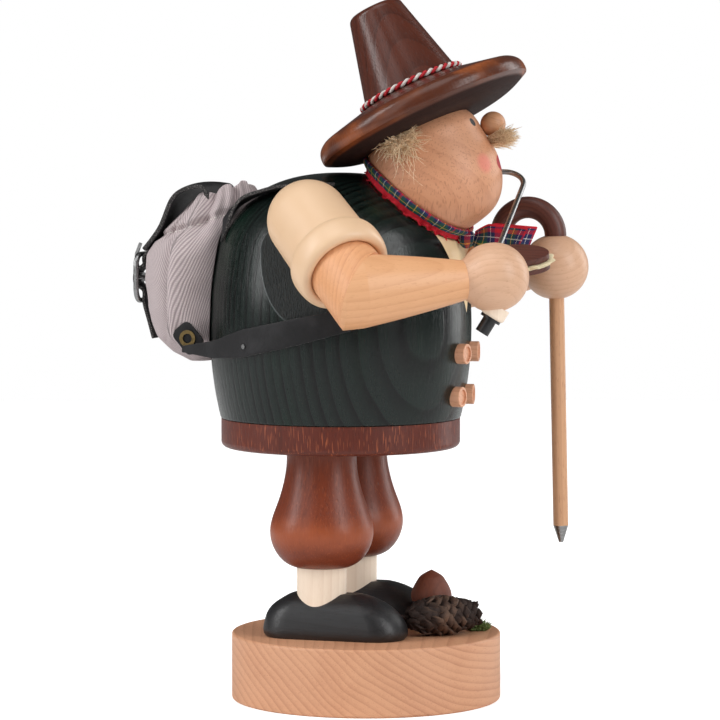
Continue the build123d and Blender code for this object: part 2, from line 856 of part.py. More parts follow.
# Forearm: a tapered beech turning between the mitre and the wrist
def make_forearm():
    length = (wrist - elbow).length
    root = (forearm_root_radius, 0)
    far = (forearm_root_radius, -elbow_corner_radius)
    middle = (forearm_middle_radius, forearm_middle_share * length)
    end = (wrist_radius, length)
    far_middle = (0, -elbow_corner_radius)
    outline = ThreePointArc(root, middle, end) + Line(end, (0, length)) + Line((0, length), far_middle)
    outline += Line(far_middle, far) + Line(far, root)
    arm = forearm_seat * turned(outline)
    arm -= inside(mitre_seat)
    reach = rod(elbow, wrist + forearm_way * cut_over, forearm_root_radius + cut_over)
    arm = arm & (elbow_ball() + reach)
    return largest(arm - make_sleeve() - make_wrist_dowel())


def make_wrist_dowel():
    low = wrist - forearm_way * wrist_dowel_depth
    return rod(low, wrist + forearm_way * wrist_dowel_depth, wrist_dowel_radius)


# Hand: a turned ball, drawn out a little towards its flat wrist
def hand_form():
    back = hand_back_stretch * hand_radius
    flat_radius = hand_radius * sqrt(1 - (hand_back_length / back) ** 2)
    part_way = hand_back_length * hand_back_side_share
    side = (hand_radius * sqrt(1 - (part_way / back) ** 2), -part_way)
    half_way = (hand_radius * cos(radians(45)), hand_radius * sin(radians(45)))
    front = ThreePointArc((hand_radius, 0), half_way, (0, hand_radius))
    rear = Spline((flat_radius, -hand_back_length), side, (hand_radius, 0),
                  tangents=((hand_back_lean_share, 1), (0, 1)))
    outline = rear + front + Line((0, hand_radius), (0, -hand_back_length))
    outline += Line((0, -hand_back_length), (flat_radius, -hand_back_length))
    return hand_seat * turned(outline)


def make_right_hand():
    hand = hand_form() - make_wrist_dowel()
    hand -= stem_route()
    hand -= bowl_collar_form()
    for slice_form in (make_bread_top(), make_filling(), make_bread_bottom()):
        hand -= slice_form
    return largest(hand)


def make_left_hand():
    hand = mirror(hand_form() - make_wrist_dowel(), Plane.YZ)
    hand -= stick_rod()
    return largest(hand - crook_form())


# Pipe stem: a steel wire from the mouth to the right hand, bent once
def stem_points():
    lip = face_point(-mouth_drop - stem_mouth_drop, head_reach(-mouth_drop - stem_mouth_drop))
    level_way = Vector(face_way.X, face_way.Y, 0).normalized()
    corner = lip + level_way * stem_corner_reach
    aim = hand_middle + Vector(0, stem_aim_y, 0)
    run = (aim - corner).normalized()
    along = (hand_middle - corner).dot(run)
    miss = (corner + run * along - hand_middle).length
    entry = along - sqrt(hand_radius ** 2 - miss ** 2)
    return lip - level_way * stem_depth_in_head, corner, corner + run * (entry + stem_depth_in_hand)


def stem_route():
    start, corner, end = stem_points()
    line = FilletPolyline(start, corner, end, radius=stem_bend_radius)
    return sweep(Plane(origin=start, z_dir=corner - start) * Circle(stem_radius), path=line)


# Pipe bowl under the right hand: a pale collar and a black end with a flange
bowl_way = direction(*bowl_direction)
bowl_foot = hand_middle + Vector(*bowl_seat) - bowl_way * bowl_collar_sunk
bowl_plane = Plane(origin=bowl_foot, z_dir=bowl_way)


def bowl_collar_form():
    collar = extrude(Circle(bowl_collar_radius), bowl_collar_height + bowl_collar_sunk)
    edge = collar.edges().filter_by(GeomType.CIRCLE).sort_by(Axis.Z)[-1]
    return bowl_plane * fillet(edge, bowl_collar_edge_radius)


def make_bowl_end():
    foot = bowl_foot + bowl_way * (bowl_collar_height + bowl_collar_sunk)
    flange = rod(foot, foot + bowl_way * bowl_flange_height, bowl_flange_radius)
    return flange + rod(foot, foot + bowl_way * (bowl_flange_height + bowl_end_length), bowl_end_radius)


# Bread: two slices with a frilled filling between them, glued into the right hand
bread_middle = Pos(bread_inset - hand_x, hand_y - bread_forward, hand_z + bread_rise)
bread_seat = bread_middle * Rot(0, -bread_tilt, 0)


def slice_of(thickness, rise, grow=0):
    outline = Ellipse(bread_width / 2 + grow, bread_length / 2 + grow)
    return bread_seat * Pos(0, 0, rise) * extrude(outline, thickness)


def make_bread_top():
    return slice_of(bread_slice, filling_thickness / 2)


def make_filling():
    return slice_of(filling_thickness, -filling_thickness / 2, filling_overhang)


def make_bread_bottom():
    return slice_of(bread_slice, -filling_thickness / 2 - bread_slice)


# Walking stick through the left hand, with a half-ring crook and a metal tip
stick_way = Vector(0, sin(radians(stick_lean)), cos(radians(stick_lean)))
left_hand_middle = Vector(hand_x, hand_y, hand_z)
stick_top = left_hand_middle + stick_way * (hand_radius - crook_foot_drop + crook_seat_depth)
stick_foot = left_hand_middle - stick_way * (stick_reach / cos(radians(stick_lean)))
crook_foot = left_hand_middle + stick_way * (hand_radius - crook_foot_drop)
crook_middle = crook_foot + Vector(0, crook_radius, 0)


def stick_rod():
    return rod(stick_foot, stick_top, stick_radius)


def make_stick_pin():
    low = stick_foot - stick_way * stick_tip_length / 2
    return rod(low, stick_foot + stick_way * stick_pin_length, stick_pin_radius)


def make_stick():
    return stick_rod() - make_stick_pin()


def crook_form():
    profile = Plane(origin=crook_foot, x_dir=(0, 1, 0), z_dir=(0, 0, 1))
    turn = Axis(crook_middle, (-1, 0, 0))
    return revolve(profile * Circle(crook_thickness / 2), turn, crook_sweep)


def make_crook():
    return crook_form() - stick_rod()


def make_stick_tip():
    tip = Cone(stick_radius, stick_tip_end_radius, stick_tip_length,
               align=(Align.CENTER, Align.CENTER, Align.MIN))
    seat = Plane(origin=stick_foot, z_dir=-stick_way)
    return seat * tip - make_stick_pin() + make_stick_pin()


# Waistcoat buttons: four dished discs in two rows on the front
def make_button(angle, height):
    middle = Vector(0, body_y, body_z + height)
    front = Vector(sin(radians(angle)), -cos(radians(angle)), 0)
    ray = Edge.make_line(middle, middle + front * 2 * body_belly_radius)
    surface = max((vertex.center() - middle).length for vertex in (ray & body_form()).vertices())
    foot = middle + front * (surface - button_seat_depth)
    disc = extrude(Circle(button_radius), button_thickness)
    disc = fillet(disc.edges().filter_by(GeomType.CIRCLE).sort_by(Axis.Z)[-1], button_edge_radius)
    dish = extrude(Circle(button_dish_radius), button_dish_depth)
    disc -= Pos(0, 0, button_thickness - button_dish_depth) * dish
    return Plane(origin=foot, z_dir=front) * disc


def make_buttons():
    discs = [make_button(side * button_angle, height) for height in button_heights for side in (-1, 1)]
    return Compound(children=[solid for disc in discs for solid in disc.solids()])


# Neck scarf: a cloth band folded round the joint of head and body, with a knot and two tails in front
def make_scarf_band():
    ring = head_form(lift_gap + scarf_cloth) - head_form(lift_gap)
    ring -= inside(neck_seat)
    ring -= outside(neck_seat.offset(scarf_band_height))
    return largest(ring - outside(hat_seat))


band_middle = neck_seat.offset(scarf_band_height / 2).origin
scarf_front = band_middle - neck_seat.y_dir * scarf_knot_reach


def make_scarf_knot():
    ball = scale(Sphere(scarf_knot_height / 2),
                 (scarf_knot_width / scarf_knot_height, scarf_knot_length / scarf_knot_height, 1))
    knot = Pos(*scarf_front) * ball
    return largest(knot - head_form(lift_gap + scarf_cloth) - inside(neck_seat))


def make_scarf_tail(side):
    """A tail from the knot: narrow at its root, one gentle wave along it, cut slanting at its end."""
    root = scarf_front - Vector(0, scarf_knot_length * scarf_tail_root_share, 0)
    quarter = scarf_tail_length / 4
    wave = scarf_tail_wave
    upper = Spline((0, 0), (-quarter, wave), (-2 * quarter, 0), (-3 * quarter, -wave), (-4 * quarter, 0))
    lower = Pos(0, scarf_tail_cloth) * upper
    ribbon = make_face(upper + Line(upper @ 1, lower @ 1) + lower + Line(lower @ 0, upper @ 0))
    ribbon = Pos(0, 0, -scarf_tail_width) * extrude(ribbon, 2 * scarf_tail_width)
    half_root = scarf_tail_root_width / 2
    half_end = scarf_tail_width / 2
    cut = scarf_tail_cut_share * scarf_tail_width
    tip_share, root_share = scarf_tail_end_shares
    shape = Polyline((0, half_root), (-quarter, half_end), (-4 * quarter, half_end * tip_share),
                     (-4 * quarter + cut, -half_end), (-quarter, -half_end * root_share),
                     (0, -half_root), close=True)
    cutter = Plane.XZ * make_face(shape)
    cutter = extrude(cutter, scarf_tail_width, both=True)
    tail = ribbon & cutter
    tail = Rot(scarf_tail_droop, 0, 0) * (Rot(0, 0, 90 - side * scarf_tail_splay) * tail)
    tail = Pos(*root) * tail
    return tail.solids()[0]


def make_scarf_tails():
    knot = make_scarf_knot()
    tails = [largest(make_scarf_tail(side) - knot) for side in (-1, 1)]
    return Compound(children=tails)


# Rucksack bag: a soft closed form that follows the body's back
def bag_form():
    sections = []
    for height, width, front, back in bag_form_shares:
        half_width = width * bag_half_width
        near = bag_front_y + front * bag_depth
        far = bag_front_y + back * bag_depth
        corner = bag_corner_share * min(half_width, (far - near) / 2)
        outline = RectangleRounded(2 * half_width, far - near, corner)
        sections.append(Pos(0, (near + far) / 2, bag_bottom_z + height * bag_height) * outline)
    return loft(sections)


def make_bag():
    return largest(bag_form() - body_form(bag_gap))


# Lid: a leather flap from the bag's top over its back
def lid_points():
    return [(bag_front_y + reach * lid_reach, bag_top_z - fall * lid_drop)
            for reach, fall in lid_path_shares]


def lid_form():
    return band(lid_points(), lid_bend_radius, lid_width, lid_leather)


def make_lid():
    return largest(lid_form() - bag_form())


# Lid strap: from its lap on the lid, out over the buckle's bar and down to its tail
def lid_strap_form():
    inner_y = buckle_y - buckle_wire / 2 - lift_gap - lid_strap_leather / 2
    outer_y = buckle_y + buckle_bar_radius + lift_gap + lid_strap_leather / 2
    half = buckle_height / 2
    top_z = buckle_z + half
    bottom_z = buckle_z - half
    near, far = [share * half for share in lid_strap_bulge_shares]
    before, last = [Vector(*point) for point in lid_points()[-2:]]
    way = (last - before).normalized()
    lap = last + Vector(-way.Y, way.X) * (lid_leather + lid_strap_leather) / 2
    lap_top = lap - way * lid_strap_lap
    points = [(lap_top.X, lap_top.Y), (lap.X, lap.Y), (inner_y, top_z - buckle_wire),
              (inner_y, buckle_z + far), (outer_y, buckle_z + near), (outer_y, buckle_z - near),
              (inner_y, buckle_z - far), (inner_y, bottom_z),
              (inner_y - lid_strap_tail_lean, bottom_z - lid_strap_tail)]
    return band(points, lid_strap_bend_radius, lid_strap_width, lid_strap_leather)


def make_lid_strap():
    slot_foot_z = buckle_z - buckle_bar_radius - prong_eye_wall - 2 * lift_gap
    slot = Pos(0, buckle_y, slot_foot_z + lid_strap_slot_length / 2)
    slot = slot * Box(lid_strap_slot_width, buckle_width, lid_strap_slot_length)
    return largest(lid_strap_form() - slot - lid_form())


# Buckle: a nickel frame with a bar across, and a prong that turns on the bar
def make_buckle_frame():
    seat = Plane(origin=(0, buckle_y - buckle_wire / 2, buckle_z), x_dir=(-1, 0, 0), z_dir=(0, 1, 0))
    outer = RectangleRounded(buckle_width, buckle_height, buckle_corner_radius)
    inner = RectangleRounded(buckle_width - 2 * buckle_wire, buckle_height - 2 * buckle_wire,
                             buckle_corner_radius - buckle_wire)
    frame = seat * extrude(outer - inner, buckle_wire)
    face_edges = [edge for face in frame.faces().filter_by(Axis.Y) for edge in face.edges()]
    frame = fillet(face_edges, buckle_edge_radius)
    half_bar = (buckle_width - buckle_wire) / 2
    bar = rod((-half_bar, buckle_y, buckle_z), (half_bar, buckle_y, buckle_z), buckle_bar_radius)
    return frame + bar


def make_prong():
    eye_radius = buckle_bar_radius + pivot_gap + prong_eye_wall
    half = prong_width / 2
    eye = rod((-half, buckle_y, buckle_z), (half, buckle_y, buckle_z), eye_radius)
    bore = rod((-prong_width, buckle_y, buckle_z), (prong_width, buckle_y, buckle_z),
               buckle_bar_radius + pivot_gap)
    rest_y = buckle_y + buckle_wire / 2 + lift_gap + prong_thickness / 2
    top_z = buckle_z + buckle_height / 2
    points = [(buckle_y + eye_radius - prong_thickness / 2, buckle_z),
              (rest_y + prong_bow, top_z - buckle_wire * 2), (rest_y + prong_bow, top_z - buckle_wire / 2),
              (rest_y - prong_bow, top_z + prong_overhang)]
    tongue = band(points, prong_overhang, prong_width, prong_thickness)
    return largest(eye + tongue - bore)


# Shoulder strap: from the bag's top, over a hump, down onto the shoulder
def shoulder_strap_form():
    length = strap_path_length
    lift = strap_leather / 2 + lift_gap
    hump_z = bag_top_z - strap_fall
    low_z = strap_low_z + lift
    points = [(0, low_z), (strap_sag_share * length, low_z - strap_sag),
              (strap_hump_share * length, hump_z), (length, hump_z - strap_end_fall)]
    strap = band(points, strap_bend_radius, strap_width, strap_leather)
    return Pos(-strap_front_x, strap_front_y, 0) * (Rot(0, 0, -strap_yaw) * strap)


def make_shoulder_strap():
    return largest(shoulder_strap_form() - make_bag() - body_form(lift_gap))


# Side strap: round the body's side and straight on to the bag's lower corner
def side_strap_form():
    radius = body_wide_radius + lift_gap + strap_leather / 2
    end_x = side_strap_end_x
    end_y = side_strap_end_y - body_y
    far = sqrt(end_x ** 2 + end_y ** 2)
    front_run = side_strap_front_y - body_y

    def angle_of(across, along):
        return Vector(across, along, 0).get_signed_angle(Vector(1, 0, 0), Vector(0, 0, -1))

    leave_angle = angle_of(end_x, end_y) - angle_of(radius, sqrt(far ** 2 - radius ** 2))
    front_angle = angle_of(sqrt(radius ** 2 - front_run ** 2), front_run)
    inner = radius - strap_leather / 2
    outer = radius + strap_leather / 2

    def on(circle_radius, angle):
        return (-circle_radius * cos(radians(angle)), circle_radius * sin(radians(angle)))

    leave = Vector(*on(radius, leave_angle))
    run = Vector(-end_x, end_y) - leave
    middle_angle = (front_angle + leave_angle) / 2
    inner_arc = ThreePointArc(on(inner, front_angle), on(inner, middle_angle), on(inner, leave_angle))
    outer_arc = ThreePointArc(on(outer, front_angle), on(outer, middle_angle), on(outer, leave_angle))
    inner_end = inner_arc @ 1 + run
    outer_end = outer_arc @ 1 + run
    outline = inner_arc + Line(inner_arc @ 1, inner_end) + Line(inner_end, outer_end)
    outline += Line(outer_end, outer_arc @ 1) + outer_arc + Line(outer_arc @ 0, inner_arc @ 0)
    low = side_strap_front_z - 2 * side_strap_drop
    return Pos(0, body_y, low) * extrude(make_face(outline), 3 * side_strap_drop)


def side_strap_outline():
    def edge(shares):
        run = side_strap_end_y - side_strap_front_y
        return Spline(*[(side_strap_front_y + along * run, side_strap_front_z - fall * side_strap_drop)
                        for along, fall in shares])

    upper = edge(side_strap_upper_shares)
    lower = edge(side_strap_lower_shares)
    outline = upper + Line(upper @ 1, lower @ 0) + lower + Line(lower @ 1, upper @ 0)
    return Plane.YZ * extrude(make_face(outline), -2 * body_wide_radius)


def make_side_strap():
    clearance = Pos(*elbow) * Sphere(elbow_corner_radius + lift_gap)
    return largest((side_strap_form() & side_strap_outline()) - make_strap_nail() - clearance)


def make_strap_nail():
    radius = body_wide_radius + lift_gap + strap_leather
    back = strap_nail_share * body_wide_radius
    foot = Vector(-sqrt(radius ** 2 - back ** 2), body_y + back, bag_bottom_z + strap_nail_rise)
    outward = Vector(foot.X, back, 0).normalized()
    point = foot - outward * (strap_leather + strap_nail_depth)
    shank = rod(point, foot + outward * strap_nail_head_height / 2, strap_nail_shank_radius)
    return shank + rod(foot, foot + outward * strap_nail_head_height, strap_nail_head_radius)


def make_strap_nails():
    return both_sides(make_strap_nail())


# Tab: a leather patch on the bag's lower corner, with a brass eyelet
tab_seat = Plane(origin=(lift_gap - bag_half_width, bag_front_y + tab_back, bag_bottom_z + tab_rise),
                 x_dir=(0, 1, 0), z_dir=(-1, 0, 0))


def make_tab():
    patch = Rot(0, 0, tab_turn) * RectangleRounded(tab_length, tab_height, tab_corner_radius)
    hole = extrude(Circle(eyelet_hole_radius), tab_leather, both=True)
    patch = extrude(patch, -tab_leather) - hole
    return largest(tab_seat * patch - bag_form() - body_form(lift_gap))


def make_eyelet():
    ring = extrude(Circle(eyelet_radius) - Circle(eyelet_hole_radius), eyelet_height)
    return largest(tab_seat * ring - side_strap_form())


# Every piece under its node name. Pieces of a pair are made for the right side and mirrored for the left.
pairs = {
    "shoe": make_shoe(), "sock": make_sock(), "breeches": make_breeches(), "sleeve": make_sleeve(),
    "elbow": make_elbow(), "forearm": make_forearm(),
}
groups = {
    "foot_dowels": make_foot_dowel(), "hip_dowels": make_hip_dowel(), "elbow_dowels": make_elbow_dowel(),
    "shoulder_dowels": make_shoulder_dowel(), "wrist_dowels": make_wrist_dowel(), "hair_tufts": make_hair(),
    "shoulder_straps": make_shoulder_strap(), "side_straps": make_side_strap(),
    "strap_nails": make_strap_nail(), "strap_tabs": make_tab(), "tab_eyelets": make_eyelet(),
}
nodes = {
    "base_disc": make_base(), "waist_disc": make_waist_disc(), "incense_plate": make_plate(),
    "plate_tack": make_tack(), "mushroom_stem": make_mushroom_stem(), "mushroom_cap": make_mushroom_cap(),
    "pine_cone": make_pine_cone(), "moss_tuft": make_moss(), "body_shell": make_body(),
    "vest_buttons": make_buttons(), "neck_dowel": make_neck_dowel(), "head": make_head(),
    "nose": make_nose(), "moustache": make_moustache(), "hat": make_hat(),
    "hat_dowel": make_hat_dowel(), "hat_cord": make_hat_cord(),
    "hand_right": make_right_hand(), "hand_left": make_left_hand(), "pipe_stem": stem_route(),
    "bowl_collar": bowl_collar_form(), "bowl_end": make_bowl_end(), "bread_top": make_bread_top(),
    "bread_filling": make_filling(), "bread_bottom": make_bread_bottom(), "stick_shaft": make_stick(),
    "stick_crook": make_crook(), "stick_tip": make_stick_tip(), "neck_scarf": make_scarf_band(),
    "scarf_knot": make_scarf_knot(), "scarf_tails": make_scarf_tails(), "pack_bag": make_bag(),
    "pack_lid": make_lid(), "lid_strap": make_lid_strap(), "buckle_frame": make_buckle_frame(),
    "buckle_prong": make_prong(),
}
for name, right in pairs.items():
    nodes[name + "_right"] = right
    nodes[name + "_left"] = mirror(right, Plane.YZ)
for name, right in groups.items():
    nodes[name] = both_sides(right)

os.makedirs("parts", exist_ok=True)
for name, shape in nodes.items():
    export_step(shape, f"parts/{name}.step")
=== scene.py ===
import random
from math import copysign, cos, exp, pi, radians, sin, sqrt

import bmesh
import bpy
from mathutils import Matrix, Vector, noise
from mathutils.bvhtree import BVHTree


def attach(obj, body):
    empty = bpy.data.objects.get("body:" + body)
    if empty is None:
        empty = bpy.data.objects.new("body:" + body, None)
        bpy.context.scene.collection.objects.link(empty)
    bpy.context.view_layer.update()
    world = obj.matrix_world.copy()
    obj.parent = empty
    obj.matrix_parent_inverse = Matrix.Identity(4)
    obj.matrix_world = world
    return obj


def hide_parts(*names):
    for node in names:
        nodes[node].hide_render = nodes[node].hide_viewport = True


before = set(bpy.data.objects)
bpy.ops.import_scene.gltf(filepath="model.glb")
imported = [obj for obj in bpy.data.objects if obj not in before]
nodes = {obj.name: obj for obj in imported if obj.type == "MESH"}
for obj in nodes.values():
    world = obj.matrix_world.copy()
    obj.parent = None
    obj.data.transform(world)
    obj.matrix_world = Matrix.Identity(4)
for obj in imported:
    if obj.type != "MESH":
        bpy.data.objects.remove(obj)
scene = bpy.context.scene
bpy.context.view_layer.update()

# The studio: a round pale floor in white surroundings, and soft lights. The camera stands
# on the figure's right, a little above its waist. It alone sees the floor's glow and the
# full white; surfaces get daylight, and reflections less of it.
floor_radius = 1.5
floor_white = 0.93
floor_glow = 0.55
camera_place = Vector((-1.3743, -0.4202, 0.2336))
camera_pitch = 0.0685
camera_yaw = 0.0017
camera_lens = 181.14
daylight = 0.19
shine_daylight = 0.07
light_target = Vector((0, 0, 0.15))
# Each light: azimuth and elevation in degrees, distance, width and height in metres, watts
lights = {
    "left_box": (-112, 22, 2.4, 0.7, 1.9, 8),
    "far_left_box": (-148, 26, 2.4, 0.65, 1.9, 30),
    "right_box": (-20, 24, 2.4, 0.9, 1.9, 31),
    "back_box": (50, 16, 2.4, 0.8, 1.9, 17),
    "top_box": (-100, 72, 2.2, 1.6, 1.6, 17),
}


def tint(red, green, blue):
    """A colour by its screen values, as the linear ones that a shader takes."""
    shares = [value / 255 for value in (red, green, blue)]
    return (*[share / 12.92 if share < 0.04 else ((share + 0.055) / 1.055) ** 2.4 for share in shares], 1)


def new_piece(name, shape):
    """A mesh object from a bmesh, smooth-shaded and in place."""
    mesh = bpy.data.meshes.new(name)
    shape.to_mesh(mesh)
    shape.free()
    mesh.shade_smooth()
    piece = bpy.data.objects.new(name, mesh)
    scene.collection.objects.link(piece)
    return piece


ground = bmesh.new()
bmesh.ops.create_circle(ground, cap_ends=True, segments=96, radius=floor_radius)
floor = new_piece("floor", ground)
paint = bpy.data.materials.new("pale_floor")
paint.use_nodes = True
paint_inputs = paint.node_tree.nodes["Principled BSDF"].inputs
paint_inputs["Base Color"].default_value = (floor_white, floor_white, floor_white, 1)
paint_inputs["Roughness"].default_value = 0.9
paint_inputs["Emission Strength"].default_value = floor_glow
camera_ray = paint.node_tree.nodes.new("ShaderNodeLightPath").outputs["Is Camera Ray"]
paint.node_tree.links.new(camera_ray, paint_inputs["Emission Color"])
floor.data.materials.append(paint)

world = bpy.data.worlds.new("daylight")
world.use_nodes = True
sky_tree = world.node_tree
sky = sky_tree.nodes["Background"].inputs
sky["Color"].default_value = (1, 1, 1, 1)
rays = sky_tree.nodes.new("ShaderNodeLightPath").outputs
strength = sky["Strength"]
for ray, amount in (("Is Camera Ray", 1.0), ("Is Glossy Ray", shine_daylight)):
    choice = sky_tree.nodes.new("ShaderNodeMapRange")
    choice.inputs["To Max"].default_value = amount
    sky_tree.links.new(rays[ray], choice.inputs["Value"])
    sky_tree.links.new(choice.outputs["Result"], strength)
    strength = choice.inputs["To Min"]
strength.default_value = daylight
scene.world = world
scene.view_settings.view_transform = "Standard"

for name, (azimuth, elevation, distance, width, height, power) in lights.items():
    box = bpy.data.lights.new(name, "AREA")
    box.shape = "RECTANGLE"
    box.size = width
    box.size_y = height
    box.energy = power
    lamp = bpy.data.objects.new(name, box)
    turned = Matrix.Rotation(radians(azimuth), 3, "Z")
    raised = Matrix.Rotation(radians(-elevation), 3, "X")
    lamp.location = light_target + turned @ raised @ Vector((0, -distance, 0))
    lamp.rotation_euler = (light_target - lamp.location).to_track_quat("-Z", "Y").to_euler()
    scene.collection.objects.link(lamp)

lens = bpy.data.cameras.new("photo_view")
lens.lens = camera_lens
lens.sensor_width = 36.0
camera = bpy.data.objects.new("photo_view", lens)
inwards = Vector((-camera_place.x, -camera_place.y, 0)).normalized()
level = Matrix.Rotation(camera_yaw, 3, "Z") @ inwards
aim = level * cos(camera_pitch) - Vector((0, 0, sin(camera_pitch)))
camera.location = camera_place
camera.rotation_euler = aim.to_track_quat("-Z", "Y").to_euler()
scene.collection.objects.link(camera)
scene.camera = camera


# Base: a thick beech disc, planed flat, its edge just broken. Growth rings show as
# slanting lines on its side, with fine rays across them.
class Wire:
    """One output in a material's node tree. Sums on it add Math nodes; node() adds any other."""

    def __init__(self, tree, socket=None):
        self.tree = tree
        self.socket = socket

    def node(self, kind, settings=None, inputs=None, output=0):
        made = self.tree.nodes.new("ShaderNode" + kind)
        for key, value in (settings or {}).items():
            if key == "stops":
                made.color_ramp.interpolation = "CONSTANT"
                while len(made.color_ramp.elements) < len(value):
                    made.color_ramp.elements.new(0.5)
                for stop, (position, colour) in zip(made.color_ramp.elements, value):
                    stop.position = position
                    stop.color = tint(*colour)
            else:
                setattr(made, key, value)
        for key, value in (inputs or {}).items():
            if isinstance(value, Wire):
                self.tree.links.new(value.socket, made.inputs[key])
            else:
                made.inputs[key].default_value = value
        return Wire(self.tree, made.outputs[output])

    def maths(self, operation, *values):
        return self.node("Math", {"operation": operation}, dict(enumerate(values)))

    def __add__(self, other):
        return self.maths("ADD", self, other)

    def __sub__(self, other):
        return self.maths("SUBTRACT", self, other)

    def __mul__(self, other):
        return self.maths("MULTIPLY", self, other)

    def __truediv__(self, other):
        return self.maths("DIVIDE", self, other)

    def __pow__(self, other):
        return self.maths("POWER", self, other)

    def __rsub__(self, other):
        return self.maths("SUBTRACT", other, self)

    __radd__ = __add__
    __rmul__ = __mul__

    def fraction(self):
        return self.maths("FRACT", self)

    def unsigned(self):
        return self.maths("ABSOLUTE", self)

    def step(self, low, high):
        """0 below low, 1 above high, and a smooth rise between them."""
        limits = {"Value": self, "From Min": low, "From Max": high}
        return self.node("MapRange", {"interpolation_type": "SMOOTHSTEP"}, limits)

    def scaled(self, *sizes):
        """Coordinates times three numbers, or times one that counts for all three."""
        return self.node("VectorMath", {"operation": "MULTIPLY"}, {0: self, 1: sizes * (3 // len(sizes))})

    def clouds(self, detail=2.0, roughness=0.5, output=0):
        return self.node("TexNoise", None, {"Vector": self, "Scale": 1.0, "Detail": detail,
                                            "Roughness": roughness}, output)

    def mix(self, first, second, share):
        """Mixes colours, each a wire or three screen values."""
        first, second = [tint(*side) if isinstance(side, tuple) else side for side in (first, second)]
        return self.node("Mix", {"data_type": "RGBA"}, {0: share, 6: first, 7: second}, 2)

    def placed(self, middle, turn=(0, 0, 0), size=(1, 1, 1)):
        """Coordinates about a middle, turned, in units of a size."""
        return self.node("Mapping", {"vector_type": "TEXTURE"},
                         {"Vector": self, "Location": middle, "Rotation": turn, "Scale": size})

    def length(self):
        return self.node("VectorMath", {"operation": "LENGTH"}, {0: self}, 1)

    def part(self, axis):
        return self.node("SeparateXYZ", None, {0: self}, "XYZ".index(axis))


def new_material(name):
    """A material and, as its first wire, the place on the object."""
    material = bpy.data.materials.new(name)
    material.use_nodes = True
    return material, Wire(material.node_tree).node("TexCoord", None, None, "Object")


def coat(material, height=None, depth=0.0001, **finish):
    """Sets or links the shader's own sockets; a height becomes bump of that depth in metres."""
    tree = material.node_tree
    shader = tree.nodes["Principled BSDF"]
    if height is not None:
        finish["Normal"] = height.node("Bump", None, {"Strength": 1.0, "Distance": depth, "Height": height})
    for name, value in finish.items():
        socket = shader.inputs[name.replace("_", " ")]
        if isinstance(value, Wire):
            tree.links.new(value.socket, socket)
        else:
            socket.default_value = value
    return material


def dress(material, *names):
    for name in names:
        for slot in nodes[name].material_slots:
            slot.material = material


def along_grain(place, pith, along):
    """Coordinates about a wood's pith line, Z along the fibres."""
    return place.placed(pith, tuple(Vector(along).to_track_quat("Z", "Y").to_euler()))


def wood(place, pith, along, ring, light, dark, ring_share=0.6, wander=0.003, fibre_share=0.35,
         pore_share=0.3, cloud_share=0.25):
    """Wood's colour and height: rings round a pith line, fibres along it, and short dark pores."""
    local = along_grain(place, pith, along)
    sway = local.scaled(28, 28, 9).clouds(2.0, 0.5, 1)
    swayed = place.node("VectorMath", {"operation": "MULTIPLY_ADD"},
                        {0: sway, 1: (wander, wander, 0), 2: local})
    turns = swayed.scaled(1, 1, 0).length() / ring
    share = turns.fraction()
    vary = place.node("TexNoise", {"noise_dimensions": "1D"},
                      {"W": turns * 0.63, "Scale": 1.0, "Detail": 1.0})
    late = share ** 2.4 * (1 - share.step(0.9, 1.0)) * (vary + 0.35)
    fibre = local.scaled(1100, 1100, 38).clouds(3.0, 0.6)
    cloud = local.scaled(60, 60, 14).clouds()
    pores = local.scaled(2300, 2300, 330).clouds(1.0, 0.4).step(0.62, 0.72)
    dark_share = late * ring_share + (fibre - 0.5) * fibre_share + (cloud - 0.5) * cloud_share
    colour = place.mix(light, dark, dark_share.maths("MAXIMUM", dark_share, 0))
    colour = place.mix(colour, dark, pores * pore_share)
    return colour, 0.5 + fibre * 0.35 - pores * pore_share - late * 0.2


def plain_wood(name, pieces, pith, along, ring, light, dark, depth, roughness, **grain):
    """Makes a wood that has one finish all over, and dresses pieces in it."""
    material, place = new_material(name)
    colour, height = wood(place, pith, along, ring, light, dark, **grain)
    dress(coat(material, height, depth, Base_Color=colour, Roughness=roughness), *pieces)
    return material


plain_wood("base_beech", ["base_disc"], pith=(0.030, -0.070, 0.125), along=(0.94, 0.34, 0.05),
           ring=0.0027, light=(212, 158, 122), dark=(160, 94, 60), depth=0.00008,
           roughness=0.5, ring_share=0.5, wander=0.006, fibre_share=0.3, pore_share=0.3,
           cloud_share=0.5)

# Shoes: carved blocks, doweled to the base, stained black and waxed, so that the grain
# shows only in the sheen.
shoe_black = plain_wood(
    "shoe_stain", ["shoe_right", "shoe_left"], pith=(0.03, 0.01, -0.03), along=(0, 1, 0.05),
    ring=0.0028, light=(30, 30, 32), dark=(13, 13, 15), depth=0.0002, roughness=0.42,
    wander=0.004, fibre_share=0.8, pore_share=0.25)
coat(shoe_black, Specular_IOR_Level=0.55)

# Socks: plain pegs of lime wood under a clear matt varnish. The dowels that hold the legs
# are cut from the same rod.
sock_pale = plain_wood(
    "sock_lime_wood", ["sock_right", "sock_left", "foot_dowels", "hip_dowels"],
    pith=(-0.09, 0.06, 0), along=(0.02, 0, 1), ring=0.0032, light=(248, 228, 206),
    dark=(216, 184, 154), depth=0.00006, roughness=0.5, ring_share=0.35, fibre_share=0.35,
    pore_share=0.12)

